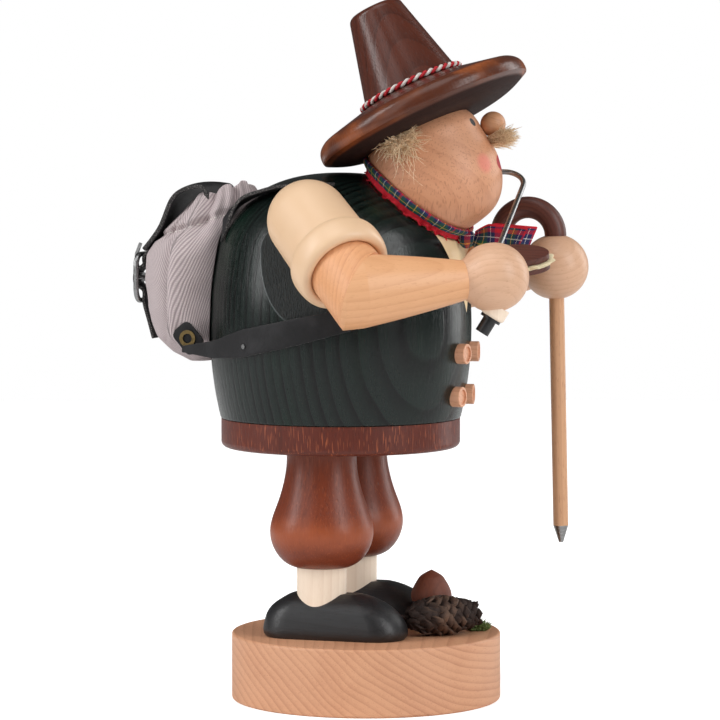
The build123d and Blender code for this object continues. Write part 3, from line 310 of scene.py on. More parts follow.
# Breeches and waist disc: turned beech under a red-brown stain, which leaves the hard
# rays lighter, as short bright ticks. The legs are lighter in a band round their widest part.
widest_level = 0.0685
widest_band_reach = 0.009
for name, pith, along, light, dark, tick_share, widest_band_share, names in (
        ("breeches_stain", (-0.075, -0.02, 0.06), (0.04, 0.03, 1), (122, 56, 34),
         (62, 25, 16), 0.14, 0.5, ("breeches_right", "breeches_left")),
        ("waist_stain", (0.09, 0.06, 0.1), (0.02, 0.02, 1), (94, 39, 26),
         (46, 18, 13), 0.36, 0.0, ("waist_disc",))):
    red_brown, place = new_material(name)
    colour, height = wood(place, pith, along, 0.0042, light, dark, ring_share=0.15, wander=0.006,
                          fibre_share=0.9, pore_share=0.35, cloud_share=0.8)
    ticks = along_grain(place, pith, along).scaled(2100, 2100, 170).clouds(1.0, 0.4).step(0.60, 0.70)
    colour = place.mix(colour, (206, 112, 70), ticks * tick_share)
    uneven = place.part("Z") + (place.scaled(120, 120, 300).clouds() - 0.5) * 0.005
    widest_band = 1 - (uneven - widest_level).unsigned().step(0.0, widest_band_reach)
    colour = place.mix(colour, (176, 92, 54), widest_band * widest_band_share)
    coat(red_brown, height, 0.00010, Base_Color=colour, Roughness=0.36, Specular_IOR_Level=0.34)
    dress(red_brown, *names)


# Incense plate: pressed tin, held to the waist disc by a steel tack. Both are hidden in
# the body and dull from smoke.
def clouded(name, sizes, detail, first, second, roughness, rougher=0.0, depth=0.0, **finish):
    """A material of two colours in clouds, which may roughen it and stand as its bump."""
    material, place = new_material(name)
    shade = place.scaled(*sizes).clouds(detail)
    return coat(material, shade if depth else None, depth, Base_Color=place.mix(first, second, shade),
                Roughness=shade * rougher + roughness if rougher else roughness, **finish)


tin = clouded("tin", [400], 3.0, (176, 176, 174), (122, 122, 122), 0.3, 0.25, Metallic=0.9)
dress(tin, "incense_plate", "plate_tack")

# Mushroom: a turned cap with a dry red-brown stain, glued on a pale stem of the same
# wood as the socks.
plain_wood("mushroom_cap_stain", ["mushroom_cap"], pith=(0.03, 0.02, 0), along=(0, 0.03, 1),
           ring=0.002, light=(118, 62, 42), dark=(70, 34, 24), depth=0.00008,
           roughness=0.6, ring_share=0.3, fibre_share=0.9, pore_share=0.1)
dress(sock_pale, "mushroom_stem")

# Pine cone: a small real cone, laid on the base and glued. Its scales stand in spirals
# round a woody core, dry and weathered grey at their tips, with a stub of its twig.
cone_stalk = Vector((-0.0115, -0.0225, 0.0346))
cone_tip = Vector((0.0065, -0.0460, 0.0346))
cone_radius = 0.0083
cone_foot = 0.0268
widest_share = 0.36
stalk_end_share = 0.5
tip_end_share = 0.36
scale_count = 92
scale_size = 0.0074
scale_thickness = 0.10
golden_turn = radians(137.5)
twig_middle = cone_stalk + Vector((-0.0015, 0.0035, 0.0))
twig_way = Vector((-0.35, 0.93, 0.08))


def cone_reach(share):
    """The cone's radius at a share of its length, thinner towards both ends."""
    end_share = stalk_end_share if share < widest_share else tip_end_share
    away = (share - widest_share) / (widest_share if share < widest_share else 1 - widest_share)
    return cone_radius * (1 - (1 - end_share) * away ** 2)


def fit_piece(piece, node, part, *materials, body="upper_part"):
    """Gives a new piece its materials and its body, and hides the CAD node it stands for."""
    for material in materials:
        piece.data.materials.append(material)
    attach(piece, body)
    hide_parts(node)


scale_form = bmesh.new()
bmesh.ops.create_circle(scale_form, cap_ends=True, segments=8, radius=0.5)
raised = bmesh.ops.extrude_face_region(scale_form, geom=scale_form.faces[:])["geom"]
raised = [corner for corner in raised if isinstance(corner, bmesh.types.BMVert)]
bmesh.ops.translate(scale_form, verts=raised, vec=(0, 0, scale_thickness))
for corner in scale_form.verts:
    cupped = 0.55 * corner.co.y ** 2 * (1 if corner.co.y > 0 else 0.2)
    corner.co.z += cupped - 0.5 * corner.co.x ** 2
bmesh.ops.recalc_face_normals(scale_form, faces=scale_form.faces)
scale_mesh = bpy.data.meshes.new("cone_scale_form")
scale_form.to_mesh(scale_mesh)
scale_form.free()
cone_run = cone_tip - cone_stalk
cone_turn = cone_run.to_track_quat("Z", "Y").to_matrix().to_4x4()
cone_place = Matrix.Translation(cone_stalk) @ cone_turn
core_sizes = (cone_radius * 0.7, cone_radius * 0.7, cone_run.length * 0.5, 1)
core_place = cone_place @ Matrix.Translation((0, 0, cone_run.length * 0.47)) @ Matrix.Diagonal(core_sizes)
cone = bmesh.new()
bmesh.ops.create_uvsphere(cone, u_segments=20, v_segments=12, radius=1.0, matrix=core_place)
dice = random.Random(3)
for count in range(scale_count):
    share = 0.02 + 0.94 * count / scale_count
    reach = cone_reach(share)
    size = scale_size * (0.45 + 0.55 * reach / cone_radius) * dice.uniform(0.85, 1.12)
    tilt = radians(dice.uniform(30, 68)) if share < 0.9 else radians(25)
    seat = (cone_place @ Matrix.Rotation(count * golden_turn, 4, "Z")
            @ Matrix.Translation((0, reach * 0.72, share * cone_run.length - 0.0012))
            @ Matrix.Rotation(tilt, 4, "X") @ Matrix.Rotation(dice.uniform(-0.2, 0.2), 4, "Y")
            @ Matrix.Diagonal((size, size * 1.05, size, 1)))
    known = set(cone.verts)
    cone.from_mesh(scale_mesh)
    bmesh.ops.transform(cone, matrix=seat, verts=[corner for corner in cone.verts if corner not in known])
twig_turn = twig_way.to_track_quat("Z", "Y").to_matrix().to_4x4()
bmesh.ops.create_cone(cone, cap_ends=True, segments=8, radius1=0.0011, radius2=0.0007, depth=0.009,
                      matrix=Matrix.Translation(twig_middle) @ twig_turn)
for corner in cone.verts:
    corner.co.z = max(corner.co.z, cone_foot)
pine_cone = new_piece("pine_cone_scales", cone)
cone_brown, place = new_material("cone_scales")
from_core = place.placed(tuple(cone_stalk), tuple(cone_turn.to_euler())).scaled(1, 1, 0).length()
grit = place.scaled(700).clouds(3.0, 0.7)
spots = place.scaled(260).clouds()
tips = (from_core + (spots - 0.5) * 0.003).step(0.0062, 0.0094)
colour = place.mix((44, 27, 20), (118, 90, 72), tips * 0.8)
colour = place.mix(colour, (34, 24, 18), grit.step(0.5, 0.75) * 0.7)
coat(cone_brown, grit, 0.0003, Base_Color=colour, Roughness=0.75)
fit_piece(pine_cone, "pine_cone", "cone_scales", cone_brown, body="lower_part")


# Moss: a pinch of dried reindeer moss and grass, dyed green and glued down at the cone's
# thin end. Its sprigs start on a small round patch and lean outwards.
def fibres(name, strands, thickness, closed=False, sides=0):
    """Threads, each through its own points. An open thread thins towards its end."""
    curve = bpy.data.curves.new(name, "CURVE")
    curve.dimensions = "3D"
    curve.bevel_depth = thickness
    curve.bevel_resolution = sides
    curve.use_fill_caps = not closed
    for places in strands:
        spline = curve.splines.new("POLY")
        spline.points.add(len(places) - 1)
        spline.use_cyclic_u = closed
        spline.use_smooth = True
        for count, (point, place) in enumerate(zip(spline.points, places)):
            point.co = (*place, 1)
            point.radius = 1.0 if closed else 1.0 - 0.75 * (count / (len(places) - 1)) ** 2
    piece = bpy.data.objects.new(name, curve)
    scene.collection.objects.link(piece)
    return piece


def strand(root, way, length, curl, steps, dice):
    """A fibre's places: it starts along a way and wanders as it goes."""
    places, at, way = [root.copy()], root.copy(), way.normalized()
    for _ in range(steps):
        swing = Vector([dice.uniform(-1, 1) for _ in range(3)])
        way = (way + swing * curl).normalized()
        at = at + way * (length / steps)
        places.append(at.copy())
    return places


moss_middle = Vector((0.0135, -0.0425, 0.0268))
moss_foot = 0.0269
moss_count = 420
dice = random.Random(8)
sprigs = []
for _ in range(moss_count):
    away, turn = sqrt(dice.random()), dice.uniform(0, 2 * pi)
    spread = Vector((away * cos(turn), away * sin(turn), 0)) * 1.5
    root = moss_middle + Vector((spread.x * 0.0018, spread.y * 0.0024, 0))
    way = Vector((spread.x * 0.5, spread.y * 0.5, 1.0))
    length = dice.uniform(0.0026, 0.0062) * exp(-0.2 * spread.length ** 2)
    sprigs.append(strand(root, way, length, 0.55, 4, dice))
moss = fibres("moss_sprigs", sprigs, 0.00024)
for spline in moss.data.splines:
    for point in spline.points:
        point.co.z = max(point.co.z, moss_foot)
moss_green = clouded("moss", [900], 2.0, (70, 96, 52), (140, 156, 92), 0.8)
fit_piece(moss, "moss_tuft", "moss", moss_green, body="lower_part")

# Body: a hollow barrel of spruce, stained green-black. The soft early wood takes up more
# stain, so the rings stand as fine ribs. The flats behind the arms are left sawn rough.
# The shirt front between the waistcoat's edges is cream paint on the same wood.
body_middle_y = 0.0106
body_pith = (0.044, 0.092, 0)
body_along = (0.012, 0.006, 1)
shirt_top = 0.196
shirt_tip = 0.1545
shirt_half = 0.0228
shirt_back = -0.024
flat_lean = radians(13)
flat_level = 0.174
flat_reach = 0.04570
body_black, place = new_material("waistcoat_stain")
colour, height = wood(
    place, body_pith, body_along, ring=0.0030, light=(20, 30, 27), dark=(1, 2, 2),
    ring_share=1.6, wander=0.004, fibre_share=0.6, pore_share=0.1, cloud_share=0.5)
green = place.scaled(45, 45, 12).clouds(3.0, 0.6).step(0.5, 0.75)
colour = place.mix(colour, (14, 46, 31), green * 0.35)
x_side = place.part("X").unsigned()
shirt_edge = (place.part("Z") - shirt_tip) * (shirt_half / (shirt_top - shirt_tip)) - x_side
in_front = (shirt_back - place.part("Y")).step(0.0, 0.001)
shirt = shirt_edge.step(-0.0001, 0.0002) * in_front
colour = place.mix(colour, (238, 208, 164), shirt)
flat_side = x_side * cos(flat_lean) + (place.part("Z") - flat_level) * sin(flat_lean)
flat = flat_side.step(flat_reach - 0.00005, flat_reach + 0.00005)
rough_saw = along_grain(place, body_pith, body_along).scaled(2200, 2200, 90).clouds(2.0, 0.6)
sawn = place.mix((5, 5, 6), (56, 56, 58), rough_saw.step(0.6, 0.8) * 0.4)
colour = place.mix(colour, sawn, flat)
height = place.node("Mix", {"data_type": "FLOAT"}, {0: flat, 2: height, 3: rough_saw * 3.0})
# Painted highlight: a thin pale grey line along each flat's edge, where the edge catches the light.
before_edge = flat_side.step(flat_reach - 0.00015, flat_reach)
flat_edge_highlight = before_edge * (1 - flat_side.step(flat_reach, flat_reach + 0.00015))
colour = place.mix(colour, (112, 118, 118), flat_edge_highlight * 0.7)
coat(body_black, height, 0.00050, Base_Color=colour, Roughness=0.27 + flat * 0.3 + shirt * 0.2,
     Coat_Weight=(1 - flat) * 0.28, Coat_Roughness=0.22, Specular_IOR_Level=0.2)
dress(body_black, "body_shell")

# Buttons, nose and stick: turned pieces of steamed beech under clear varnish, glued into
# their holes, each with its own run of grain.
for name, piece, light, dark, along, pith in (
        ("button_beech", "vest_buttons", (222, 166, 132), (176, 116, 84), (0, 1, 0.1),
         (0.02, 0, 0.2)),
        ("nose_beech", "nose", (214, 158, 118), (176, 116, 80), (0.2, 1, 0.3), (0.01, 0, 0.19)),
        ("stick_beech", "stick_shaft", (212, 162, 122), (168, 114, 80), (0, 0.0227, 1),
         (0.03, -0.05, 0))):
    plain_wood(name, [piece], pith, along, 0.0019, light, dark, depth=0.00006, roughness=0.42,
               ring_share=0.4, wander=0.002, pore_share=0.45)

# Sleeves: turned lime wood, sprayed with cream satin paint, so that no grain shows. Each
# is doweled to the flat on the body's side.
sleeve_cream, place = new_material("sleeve_paint")
patches = place.scaled(70).clouds()
grit = place.scaled(1500).clouds()
coat(sleeve_cream, grit, 0.00003, Base_Color=place.mix((232, 198, 163), (222, 185, 147), patches),
     Roughness=0.36 + patches * 0.1, Coat_Weight=0.15, Coat_Roughness=0.3)
dress(sleeve_cream, "sleeve_right", "sleeve_left")

# Elbows, forearms and hands: beech with a clear satin varnish. The elbows show end grain;
# the forearms are a warmer wood than the hand balls.
arm_way = (0.5258, -0.849, 0.089)
for name, pieces, light, dark, along, pith, ring, ring_share in (
        ("elbow_beech", ["elbow_right", "elbow_left"], (224, 164, 118), (186, 112, 70),
         (0.72, -0.2, 0.66), (-0.05, 0.03, 0.19), 0.0024, 0.42),
        ("forearm_beech", ["forearm_right", "forearm_left"], (226, 170, 124), (198, 132, 86),
         arm_way, (-0.10, -0.03, 0.20), 0.0034, 0.42),
        ("hand_maple", ["hand_right", "hand_left", "shoulder_dowels", "elbow_dowels", "wrist_dowels",
                        "neck_dowel", "hat_dowel"], (218, 175, 143), (182, 130, 98),
         (0.3, -0.92, 0.1), (-0.02, -0.02, 0.235), 0.0026, 0.32)):
    plain_wood(name, pieces, pith, along, ring, light, dark, depth=0.00005, roughness=0.4,
               ring_share=ring_share, wander=0.006, fibre_share=0.4, pore_share=0.3)

# Head: a turned beech ball, set on the neck's dowel and tilted forward. Eyes, cheeks and
# mouth are painted on, a plain doll's face.
head_middle = Vector((0, -0.029, 0.2083))
head_radius = 0.0253
head_turn = Matrix.Rotation(radians(-24), 3, "X")
face_turn = 14
head_beech, place = new_material("head_beech")
colour, height = wood(
    place, pith=(-0.0050, -0.029, 0.2020), along=(-0.93, 0.16, -0.30), ring=0.0040,
    light=(219, 159, 122), dark=(176, 110, 74), ring_share=0.3, wander=0.007,
    fibre_share=0.25, pore_share=0.0)
on_fleck = place.placed(tuple(head_middle), (radians(35), 0, radians(-70)))
flecks = on_fleck.scaled(1600, 1600, 130).clouds(1.0, 0.4).step(0.56, 0.70)
colour = place.mix(colour, (164, 104, 70), flecks * 0.4)
# Painted ovals: height and turn on the head's axis, half width, half height, soft edge, paint
eye = (0.0018, 0.0017, 0.1, 1, (20, 18, 18))
cheek = (0.0036, 0.0036, 0.45, 0.62, (232, 124, 112))
for up, turn, (wide, tall, soft, paint_share, paint_colour) in (
        (0.01225, -10, eye), (0.01225, 38, eye), (-0.00425, -25, cheek), (-0.00425, 53, cheek),
        (-0.005, face_turn, (0.0078, 0.0034, 0.06, 1, (178, 26, 34)))):
    out = sqrt(head_radius ** 2 - up ** 2)
    way = head_turn @ Vector((sin(radians(turn)) * out, -cos(radians(turn)) * out, up))
    seat = tuple(way.to_track_quat("Y", "Z").to_euler())
    away = place.placed(tuple(head_middle + way), seat, (wide, 0.008, tall)).length()
    colour = place.mix(colour, paint_colour, (1 - away.step(1 - soft, 1 + soft)) * paint_share)
coat(head_beech, height - flecks * 0.6, 0.00006, Base_Color=colour, Roughness=0.44)
dress(head_beech, "head")

# Hair and moustache: bundles of combed flax, glued on. Cut ends stand out to the sides,
# and a few long fibres stray over the cheek. A solid core keeps the head from showing.
flax_blond, place = new_material("flax")
shade = place.scaled(1400).clouds().step(0.3, 0.6)
coat(flax_blond, Base_Color=place.mix((214, 176, 132), (255, 234, 202), shade), Roughness=0.55)
tuft_sizes = (0.0048, 0.0076, 0.0072)
tuft_count = 430
core_sizes = (0.0040, 0.0068, 0.0062, 1)
stray_count = 26
for side, side_name in ((-1, "right"), (1, "left")):
    tuft_middle = Vector((side * 0.0225, -0.0203, 0.2230))
    comb = Vector((side * 1.0, -0.10, 0.05))
    dice = random.Random(5)
    strands = []
    for _ in range(tuft_count):
        way = Vector([dice.gauss(0, 1) for _ in range(3)]).normalized()
        reach = Vector([share * size for share, size in zip(way, tuft_sizes)])
        root = tuft_middle + head_turn @ reach * dice.uniform(0.3, 0.8)
        length = 0.0088 * dice.uniform(0.5, 1.1)
        strands.append(strand(root, head_turn @ way * 0.8 + comb, length, 0.36, 5, dice))
    tuft = fibres("hair_tuft_" + side_name, strands, 0.00026)
    core_place = Matrix.Translation(tuft_middle) @ head_turn.to_4x4() @ Matrix.Diagonal(core_sizes)
    core = bmesh.new()
    bmesh.ops.create_icosphere(core, subdivisions=3, radius=1.0, matrix=core_place)
    bmesh.ops.recalc_face_normals(core, faces=core.faces)
    core = new_piece("hair_core_" + side_name, core)
    dice = random.Random(11 + side)
    strays = []
    for _ in range(stray_count):
        root = tuft_middle + Vector((side * 0.003, dice.uniform(-0.006, 0.002), dice.uniform(-0.006, 0.002)))
        way = Vector((side * 0.25, dice.uniform(-0.9, 0.2), dice.uniform(-1.0, 0.1)))
        strays.append(strand(root, way, dice.uniform(0.007, 0.020), 0.22, 8, dice))
    strays = fibres("hair_stray_" + side_name, strays, 0.00016)
    for piece in (tuft, core, strays):
        fit_piece(piece, "hair_tufts", "flax", flax_blond)

moustache_count = 520
face_level = head_turn @ Matrix.Rotation(radians(face_turn), 3, "Z")
lip_middle = head_middle + face_level @ Vector((0, -0.0247, 0.0042))
dice = random.Random(21)
strands = []
for count in range(moustache_count):
    side = 1 if count % 2 else -1
    start = Vector((side * dice.uniform(0.0002, 0.0035), dice.uniform(-0.002, 0.002),
                    dice.uniform(-0.0018, 0.0018)))
    way = Vector((side * dice.uniform(0.25, 1.1), -dice.uniform(0.55, 1.1), dice.uniform(-0.30, 0.03)))
    strands.append(strand(lip_middle + face_level @ start, face_level @ way,
                          dice.uniform(0.0075, 0.0125), 0.13, 5, dice))
moustache = fibres("moustache_flax", strands, 0.00020)
fit_piece(moustache, "moustache", "flax", flax_blond)


# Neck scarf: a strip of wool tartan, folded to a double band round the neck's joint and
# tied in front. The lower fold is crumpled and shows its red edge; two tails stand out.
def shaped_grid(columns, rows, place):
    """A grid whose corners are moved to their places on the piece, u along and v across."""
    shape = bmesh.new()
    shape.loops.layers.uv.new("cloth")
    bmesh.ops.create_grid(shape, x_segments=columns, y_segments=rows, size=0.5, calc_uvs=True)
    for vertex in shape.verts:
        vertex.co = place(vertex.co.x + 0.5, vertex.co.y + 0.5)
    bmesh.ops.remove_doubles(shape, verts=shape.verts, dist=0.000001)
    return shape


def thicken(piece, thickness, edge_slot=0, smooth=True):
    """Gives a sheet its thickness, half to each side, and rounds it by one subdivision."""
    solid = piece.modifiers.new("thickness", "SOLIDIFY")
    solid.thickness = thickness
    solid.offset = 0.0
    solid.material_offset_rim = edge_slot
    if smooth:
        rounded = piece.modifiers.new("smooth", "SUBSURF")
        rounded.levels = rounded.render_levels = 1


def tree_of(name):
    return BVHTree.FromPolygons([vertex.co[:] for vertex in nodes[name].data.vertices],
                                [face.vertices[:] for face in nodes[name].data.polygons])


sett_length = 0.0130
red, navy, green = (214, 18, 44), (28, 34, 88), (14, 88, 62)
yellow, white = (232, 192, 62), (230, 226, 220)
# Stripes by the share at which each starts: those along both strips, then for each strip the
# first of them, those across it, and the shares between its red selvedges
along_sett = (
    (0.13, navy), (0.24, white), (0.265, navy), (0.36, green), (0.50, yellow), (0.53, green),
    (0.66, navy), (0.76, white), (0.785, navy), (0.92, red))
setts = {
    "band": (green, (
        (0.0, red), (0.26, navy), (0.52, red), (0.61, navy), (0.70, green), (0.80, yellow),
        (0.83, green), (0.90, navy), (0.96, red)), (0.24, 0.965)),
    "tail": (red, (
        (0.0, navy), (0.12, green), (0.30, yellow), (0.34, green), (0.46, navy), (0.60, white),
        (0.63, navy), (0.76, red), (0.88, navy), (0.93, red)), (0.03, 0.93)),
}


def tartan(name, part, width, length):
    """Wool tartan: the same stripes both ways, mixed thread by thread in a twill."""
    cloth, place = new_material(name)
    first, across_sett, (low_edge, high_edge) = setts[part]
    on_sheet = place.node("TexCoord", None, None, "UV")
    on_cloth = on_sheet.scaled(length, width, 0)
    across = on_sheet.part("Y")
    along = (on_cloth.part("X") / sett_length + 0.1).fraction()
    along_stripes = place.node("ValToRGB", {"stops": ((0.0, first), *along_sett)}, {0: along})
    across_stripes = place.node("ValToRGB", {"stops": across_sett}, {0: across})
    twill = ((on_cloth.part("X") + on_cloth.part("Y")) / 0.0006).fraction().step(0.35, 0.65)
    colour = place.mix(along_stripes, across_stripes, twill)
    selvedge = (1 - across.step(low_edge, low_edge + 0.02)) + across.step(high_edge, high_edge + 0.01)
    colour = place.mix(colour, red, selvedge)
    fuzz = place.scaled(1800).clouds()
    colour = place.mix(colour, (12, 12, 18), fuzz * 0.22)
    return coat(cloth, twill * 0.4 + fuzz, 0.00012, Base_Color=colour, Roughness=0.8)


neck_middle = Vector((0, -0.0198, 0.1958))
neck_slant = radians(36.3)
neck_up = Vector((0, -sin(neck_slant), cos(neck_slant)))
neck_back = Vector((0, cos(neck_slant), sin(neck_slant)))
head_surface = tree_of("head")
band_length = 0.155
band_width = 0.0115
band_top = 0.0064
fold_share = 0.55


def band_place(u, v):
    """The strip's folded section: up along the head, over at the top, and down outside."""
    turn = 2 * pi * u
    way = Vector((cos(turn), 0, 0)) + neck_back * sin(turn)
    ripple = sin(turn * 23 + 3 * sin(turn * 5)) + 0.6 * sin(turn * 41 + 1.3)
    if v < fold_share:
        share = v / fold_share
        height = 0.0004 + (band_top - 0.0006) * share
        lift = 0.0006 + 0.0019 * (1 - share) ** 3 + 0.0005 * ripple * (1 - share) ** 3
        height += 0.0005 * ripple * (1 - share) ** 4
    else:
        share = (v - fold_share) / (1 - fold_share)
        height = band_top - 0.0037 * share + 0.00015 * ripple * share
        lift = 0.0006 + 0.0011 * min(1, share * 4) ** 0.5 + 0.0004 * sin(pi * share)
        lift += 0.00012 * ripple * share
    start = neck_middle + neck_up * height + way * 0.06
    hit = head_surface.ray_cast(start, -way)[0]
    out = (hit - start + way * 0.06).dot(way) if hit else 0.0225
    return neck_middle + neck_up * height + way * (out + lift)


band = new_piece("scarf_band", shaped_grid(220, 26, band_place))
thicken(band, 0.0005)
band_tartan = tartan("band_tartan", "band", band_width, band_length)
fit_piece(band, "neck_scarf", "tartan", band_tartan)

knot_middle = Vector((0, -0.04146, 0.18374))
knot_half_width, knot_half_height = 0.0031, 0.0036


def knot_place(u, v):
    """A small ball, pinched round its middle and twisted where the tails come out."""
    turn, slope = 2 * pi * u, pi * (v - 0.5)
    wrap = 1 + 0.10 * sin(turn * 3 + slope * 2.5) - 0.12 * exp(-(slope / 0.25) ** 2)
    out = Vector((cos(turn) * cos(slope) * knot_half_width,
                  sin(turn) * cos(slope) * knot_half_height, sin(slope) * knot_half_height))
    return knot_middle + out * wrap


knot = shaped_grid(28, 16, knot_place)
bmesh.ops.recalc_face_normals(knot, faces=knot.faces)
knot = new_piece("scarf_knot_cloth", knot)
fit_piece(knot, "scarf_knot", "tartan", tartan("knot_tartan", "tail", 0.012, 0.022))

tail_root = Vector((0, -0.0444, 0.18374))
tail_length, tail_width, knot_end_width = 0.0246, 0.0135, 0.0060
tail_up = Vector((0, -0.087, 0.996))
for side, side_name in ((-1, "right"), (1, "left")):
    run = Vector((side * 0.342, -0.936, -0.082))
    sideways = Vector((side * 0.94, 0.342, 0))

    def tail_place(u, v):
        width = knot_end_width + (tail_width - knot_end_width) * min(1, u * 3.2)
        reach = tail_length - (1 - v) * 0.3 * tail_width
        wave = 0.0013 * sin(2 * pi * u) + 0.0008 * sin(5 * u + 6 * v)
        return tail_root + run * (u * reach) + tail_up * ((v - 0.5) * width) + sideways * wave
    tail = new_piece("scarf_tail_" + side_name, shaped_grid(30, 14, tail_place))
    thicken(tail, 0.0004)
    tail_tartan = tartan("tail_tartan_" + side_name, "tail", tail_width, tail_length)
    fit_piece(tail, "scarf_tails", "tartan", tail_tartan)

# Hat: turned from one block and stained walnut brown, satin on the crown. The rim's band is
# lighter and streaked, in patches.
hat_middle = Vector((0, -0.02627, 0.22722))
hat_tilt = radians(26.4)
rim_start, rim_end = 0.0405, 0.0425
under_shade_start, under_shade_end = 0.0030, 0.0046
hat_brown, place = new_material("hat_stain")
on_hat = place.placed(tuple(hat_middle), (-hat_tilt, 0, 0))
colour, height = wood(
    place, pith=(0.03, -0.01, 0.22), along=(0, sin(hat_tilt), cos(hat_tilt)), ring=0.003,
    light=(86, 42, 29), dark=(32, 14, 10), ring_share=0.6, wander=0.005, fibre_share=0.7,
    pore_share=0.3)
rim = on_hat.scaled(1, 1, 0).length().step(rim_start, rim_end)
patch = on_hat.scaled(34, 34, 60).clouds(2.0, 0.6).step(0.40, 0.66)
streak = on_hat.scaled(900, 900, 60).clouds(3.0, 0.6)
rim_colour = place.mix((84, 44, 28), (168, 92, 48), patch * (streak + 0.3))
colour = place.mix(colour, rim_colour, rim * 0.85)
# Painted shade: the brim's underside, apart from the rim's band, is painted near black, rougher and without
# coat.
under_shade = (1 - on_hat.part("Z").step(under_shade_start, under_shade_end)) * (1 - rim)
colour = place.mix(colour, (26, 11, 8), under_shade * 0.85)
coat(hat_brown, height, 0.00018, Base_Color=colour, Roughness=0.28 + under_shade * 0.5,
     Coat_Weight=(1 - under_shade) * 0.2, Coat_Roughness=0.25, Specular_IOR_Level=0.28)
dress(hat_brown, "hat")

# Hat cord: a red and a white strand of wool yarn twisted together, laid in the corner of
# brim and crown and glued there.
cord_radius, cord_height = 0.02092, 0.01763
yarn_radius, yarn_shift = 0.00064, 0.00056
twists, steps_in_twist = 25, 10
hat_place = Matrix.Translation(hat_middle) @ Matrix.Rotation(-hat_tilt, 4, "X")
for name, start, light, dark in (("red", 0.0, (206, 24, 40), (150, 10, 24)),
                                 ("white", pi, (238, 232, 226), (190, 182, 176))):
    places = []
    for count in range(twists * steps_in_twist):
        turn = 2 * pi * count / (twists * steps_in_twist)
        twist = turn * twists + start
        out = cord_radius + yarn_shift * cos(twist)
        up = cord_height + yarn_shift * sin(twist)
        places.append(hat_place @ Vector((out * sin(turn), -out * cos(turn), up)))
    cord = fibres("hat_cord_" + name, [places], yarn_radius, closed=True, sides=2)
    yarn = clouded("cord_" + name, [2600], 2.0, light, dark, 0.75, depth=0.0001)
    fit_piece(cord, "hat_cord", "hat_cord", yarn)

# Stick's crook and the bread's slices: turned dark walnut under clear varnish. The crook
# is half a ring, and the grain runs across it.
for name, pieces, along, pith in (
        ("crook_walnut", ["stick_crook"], (1, 0.05, 0), (0, -0.0542, 0.1835)),
        ("bread_walnut", ["bread_top", "bread_bottom"], (0.1, 1, 0.1), (0.03, -0.07, 0.15))):
    plain_wood(name, pieces, pith, along, 0.0016, (96, 52, 42), (42, 20, 17), depth=0.00008,
               roughness=0.42, ring_share=0.7, wander=0.001, fibre_share=0.5, pore_share=0.4)

# Bread's filling: a frill of pale felt, glued between the slices and cut wider than they
# are, with a wavy edge.
frill_half_width, frill_half_length = 0.00995, 0.01470
bread_turn = Matrix.Rotation(radians(-22), 4, "Y")
bread_place = Matrix.Translation((-0.0286, -0.0690, 0.1766)) @ bread_turn


def frill_place(u, v):
    turn = 2 * pi * u
    wave = sin(turn * 15) * 0.6 + sin(turn * 23 + 1) * 0.4
    out = v ** 0.7 * (1 + 0.07 * wave * v ** 3)
    return bread_place @ Vector((cos(turn) * frill_half_width * out,
                                 sin(turn) * frill_half_length * out, 0.0006 * wave * v ** 4))


frill = new_piece("bread_frill", shaped_grid(180, 12, frill_place))
thicken(frill, 0.0012)
felt = clouded("filling_felt", [1200], 3.0, (240, 228, 196), (204, 186, 142), 0.8, depth=0.0002)
fit_piece(frill, "bread_filling", "filling", felt)

# Pipe: a bent steel wire with a pale turned collar under the hand and a black end. The
# stick's tip, the buckle and the nails are the same steel.
steel = clouded("steel", [300, 300, 1500], 3.0, (176, 176, 176), (120, 120, 120), 0.22, 0.14, Metallic=1.0)
dress(steel, "pipe_stem", "stick_tip", "buckle_frame", "buckle_prong", "strap_nails")
dress(sock_pale, "bowl_collar")
bowl_black = clouded("bowl_black", [500], 3.0, (20, 20, 22), (38, 38, 40), 0.35, depth=0.00004)
dress(bowl_black, "bowl_end")

# Rucksack: a bag of mauve-grey twill, stuffed and gathered by a stitched line under its
# mouth, so that it bulges below and frills above. It lies against the body's back.
bag_front, bag_depth, bag_half = 0.0480, 0.0420, 0.0300
bag_bottom, bag_height = 0.1342, 0.0710
# Each row: height, half width, front and back, as shares of the bag's sizes
bag_rows = (
    (0, 0.50, 0.33, 0.55), (0.05, 0.74, 0.22, 0.7), (0.14, 0.91, 0.12, 0.85), (0.3, 1.0, 0.04, 0.965),
    (0.45, 1.0, 0.0, 1.0), (0.6, 0.97, -0.05, 0.965), (0.70, 0.91, -0.07, 0.88),
    (0.79, 0.80, -0.07, 0.76), (0.86, 0.70, -0.05, 0.68), (0.93, 0.58, -0.02, 0.60),
    (1.0, 0.44, 0.05, 0.52))
# The deep fold down the bag's side: height as a share, and y
fold_line = ((0.08, 0.0765), (0.24, 0.0742), (0.46, 0.0741), (0.68, 0.0729), (0.80, 0.0705), (1.0, 0.0690))
# Shares of the grid that close the bag's bottom and its mouth, and the wall between them
bottom_share, mouth_share, wall_share = 0.08, 0.06, 0.86
squareness = 0.78
bag_gap = 0.0006
body_surface = tree_of("body_shell")


def between(rows, height):
    """The values at a height, read between rows that each start with theirs."""
    for low, high in zip(rows, rows[1:]):
        if height <= high[0]:
            share = (height - low[0]) / (high[0] - low[0])
            return [a + (b - a) * share for a, b in zip(low[1:], high[1:])]
    return rows[-1][1:]


def eased(value, low, high):
    """0 below low, 1 above high, and a smooth rise between them."""
    share = min(1.0, max(0.0, (value - low) / (high - low)))
    return share * share * (3 - 2 * share)


def clear_of_body(place, gap):
    near_place, normal = body_surface.find_nearest(place)[:2]
    if (place - near_place).dot(normal) < gap and (place - near_place).length < 0.02:
        return near_place + normal * gap
    return place


def gather_height(turn):
    """The stitched line's height share: low at the back, higher on the sides and in front."""
    return 0.80 - 0.065 * sin(turn) + 0.012 * sin(turn * 6)


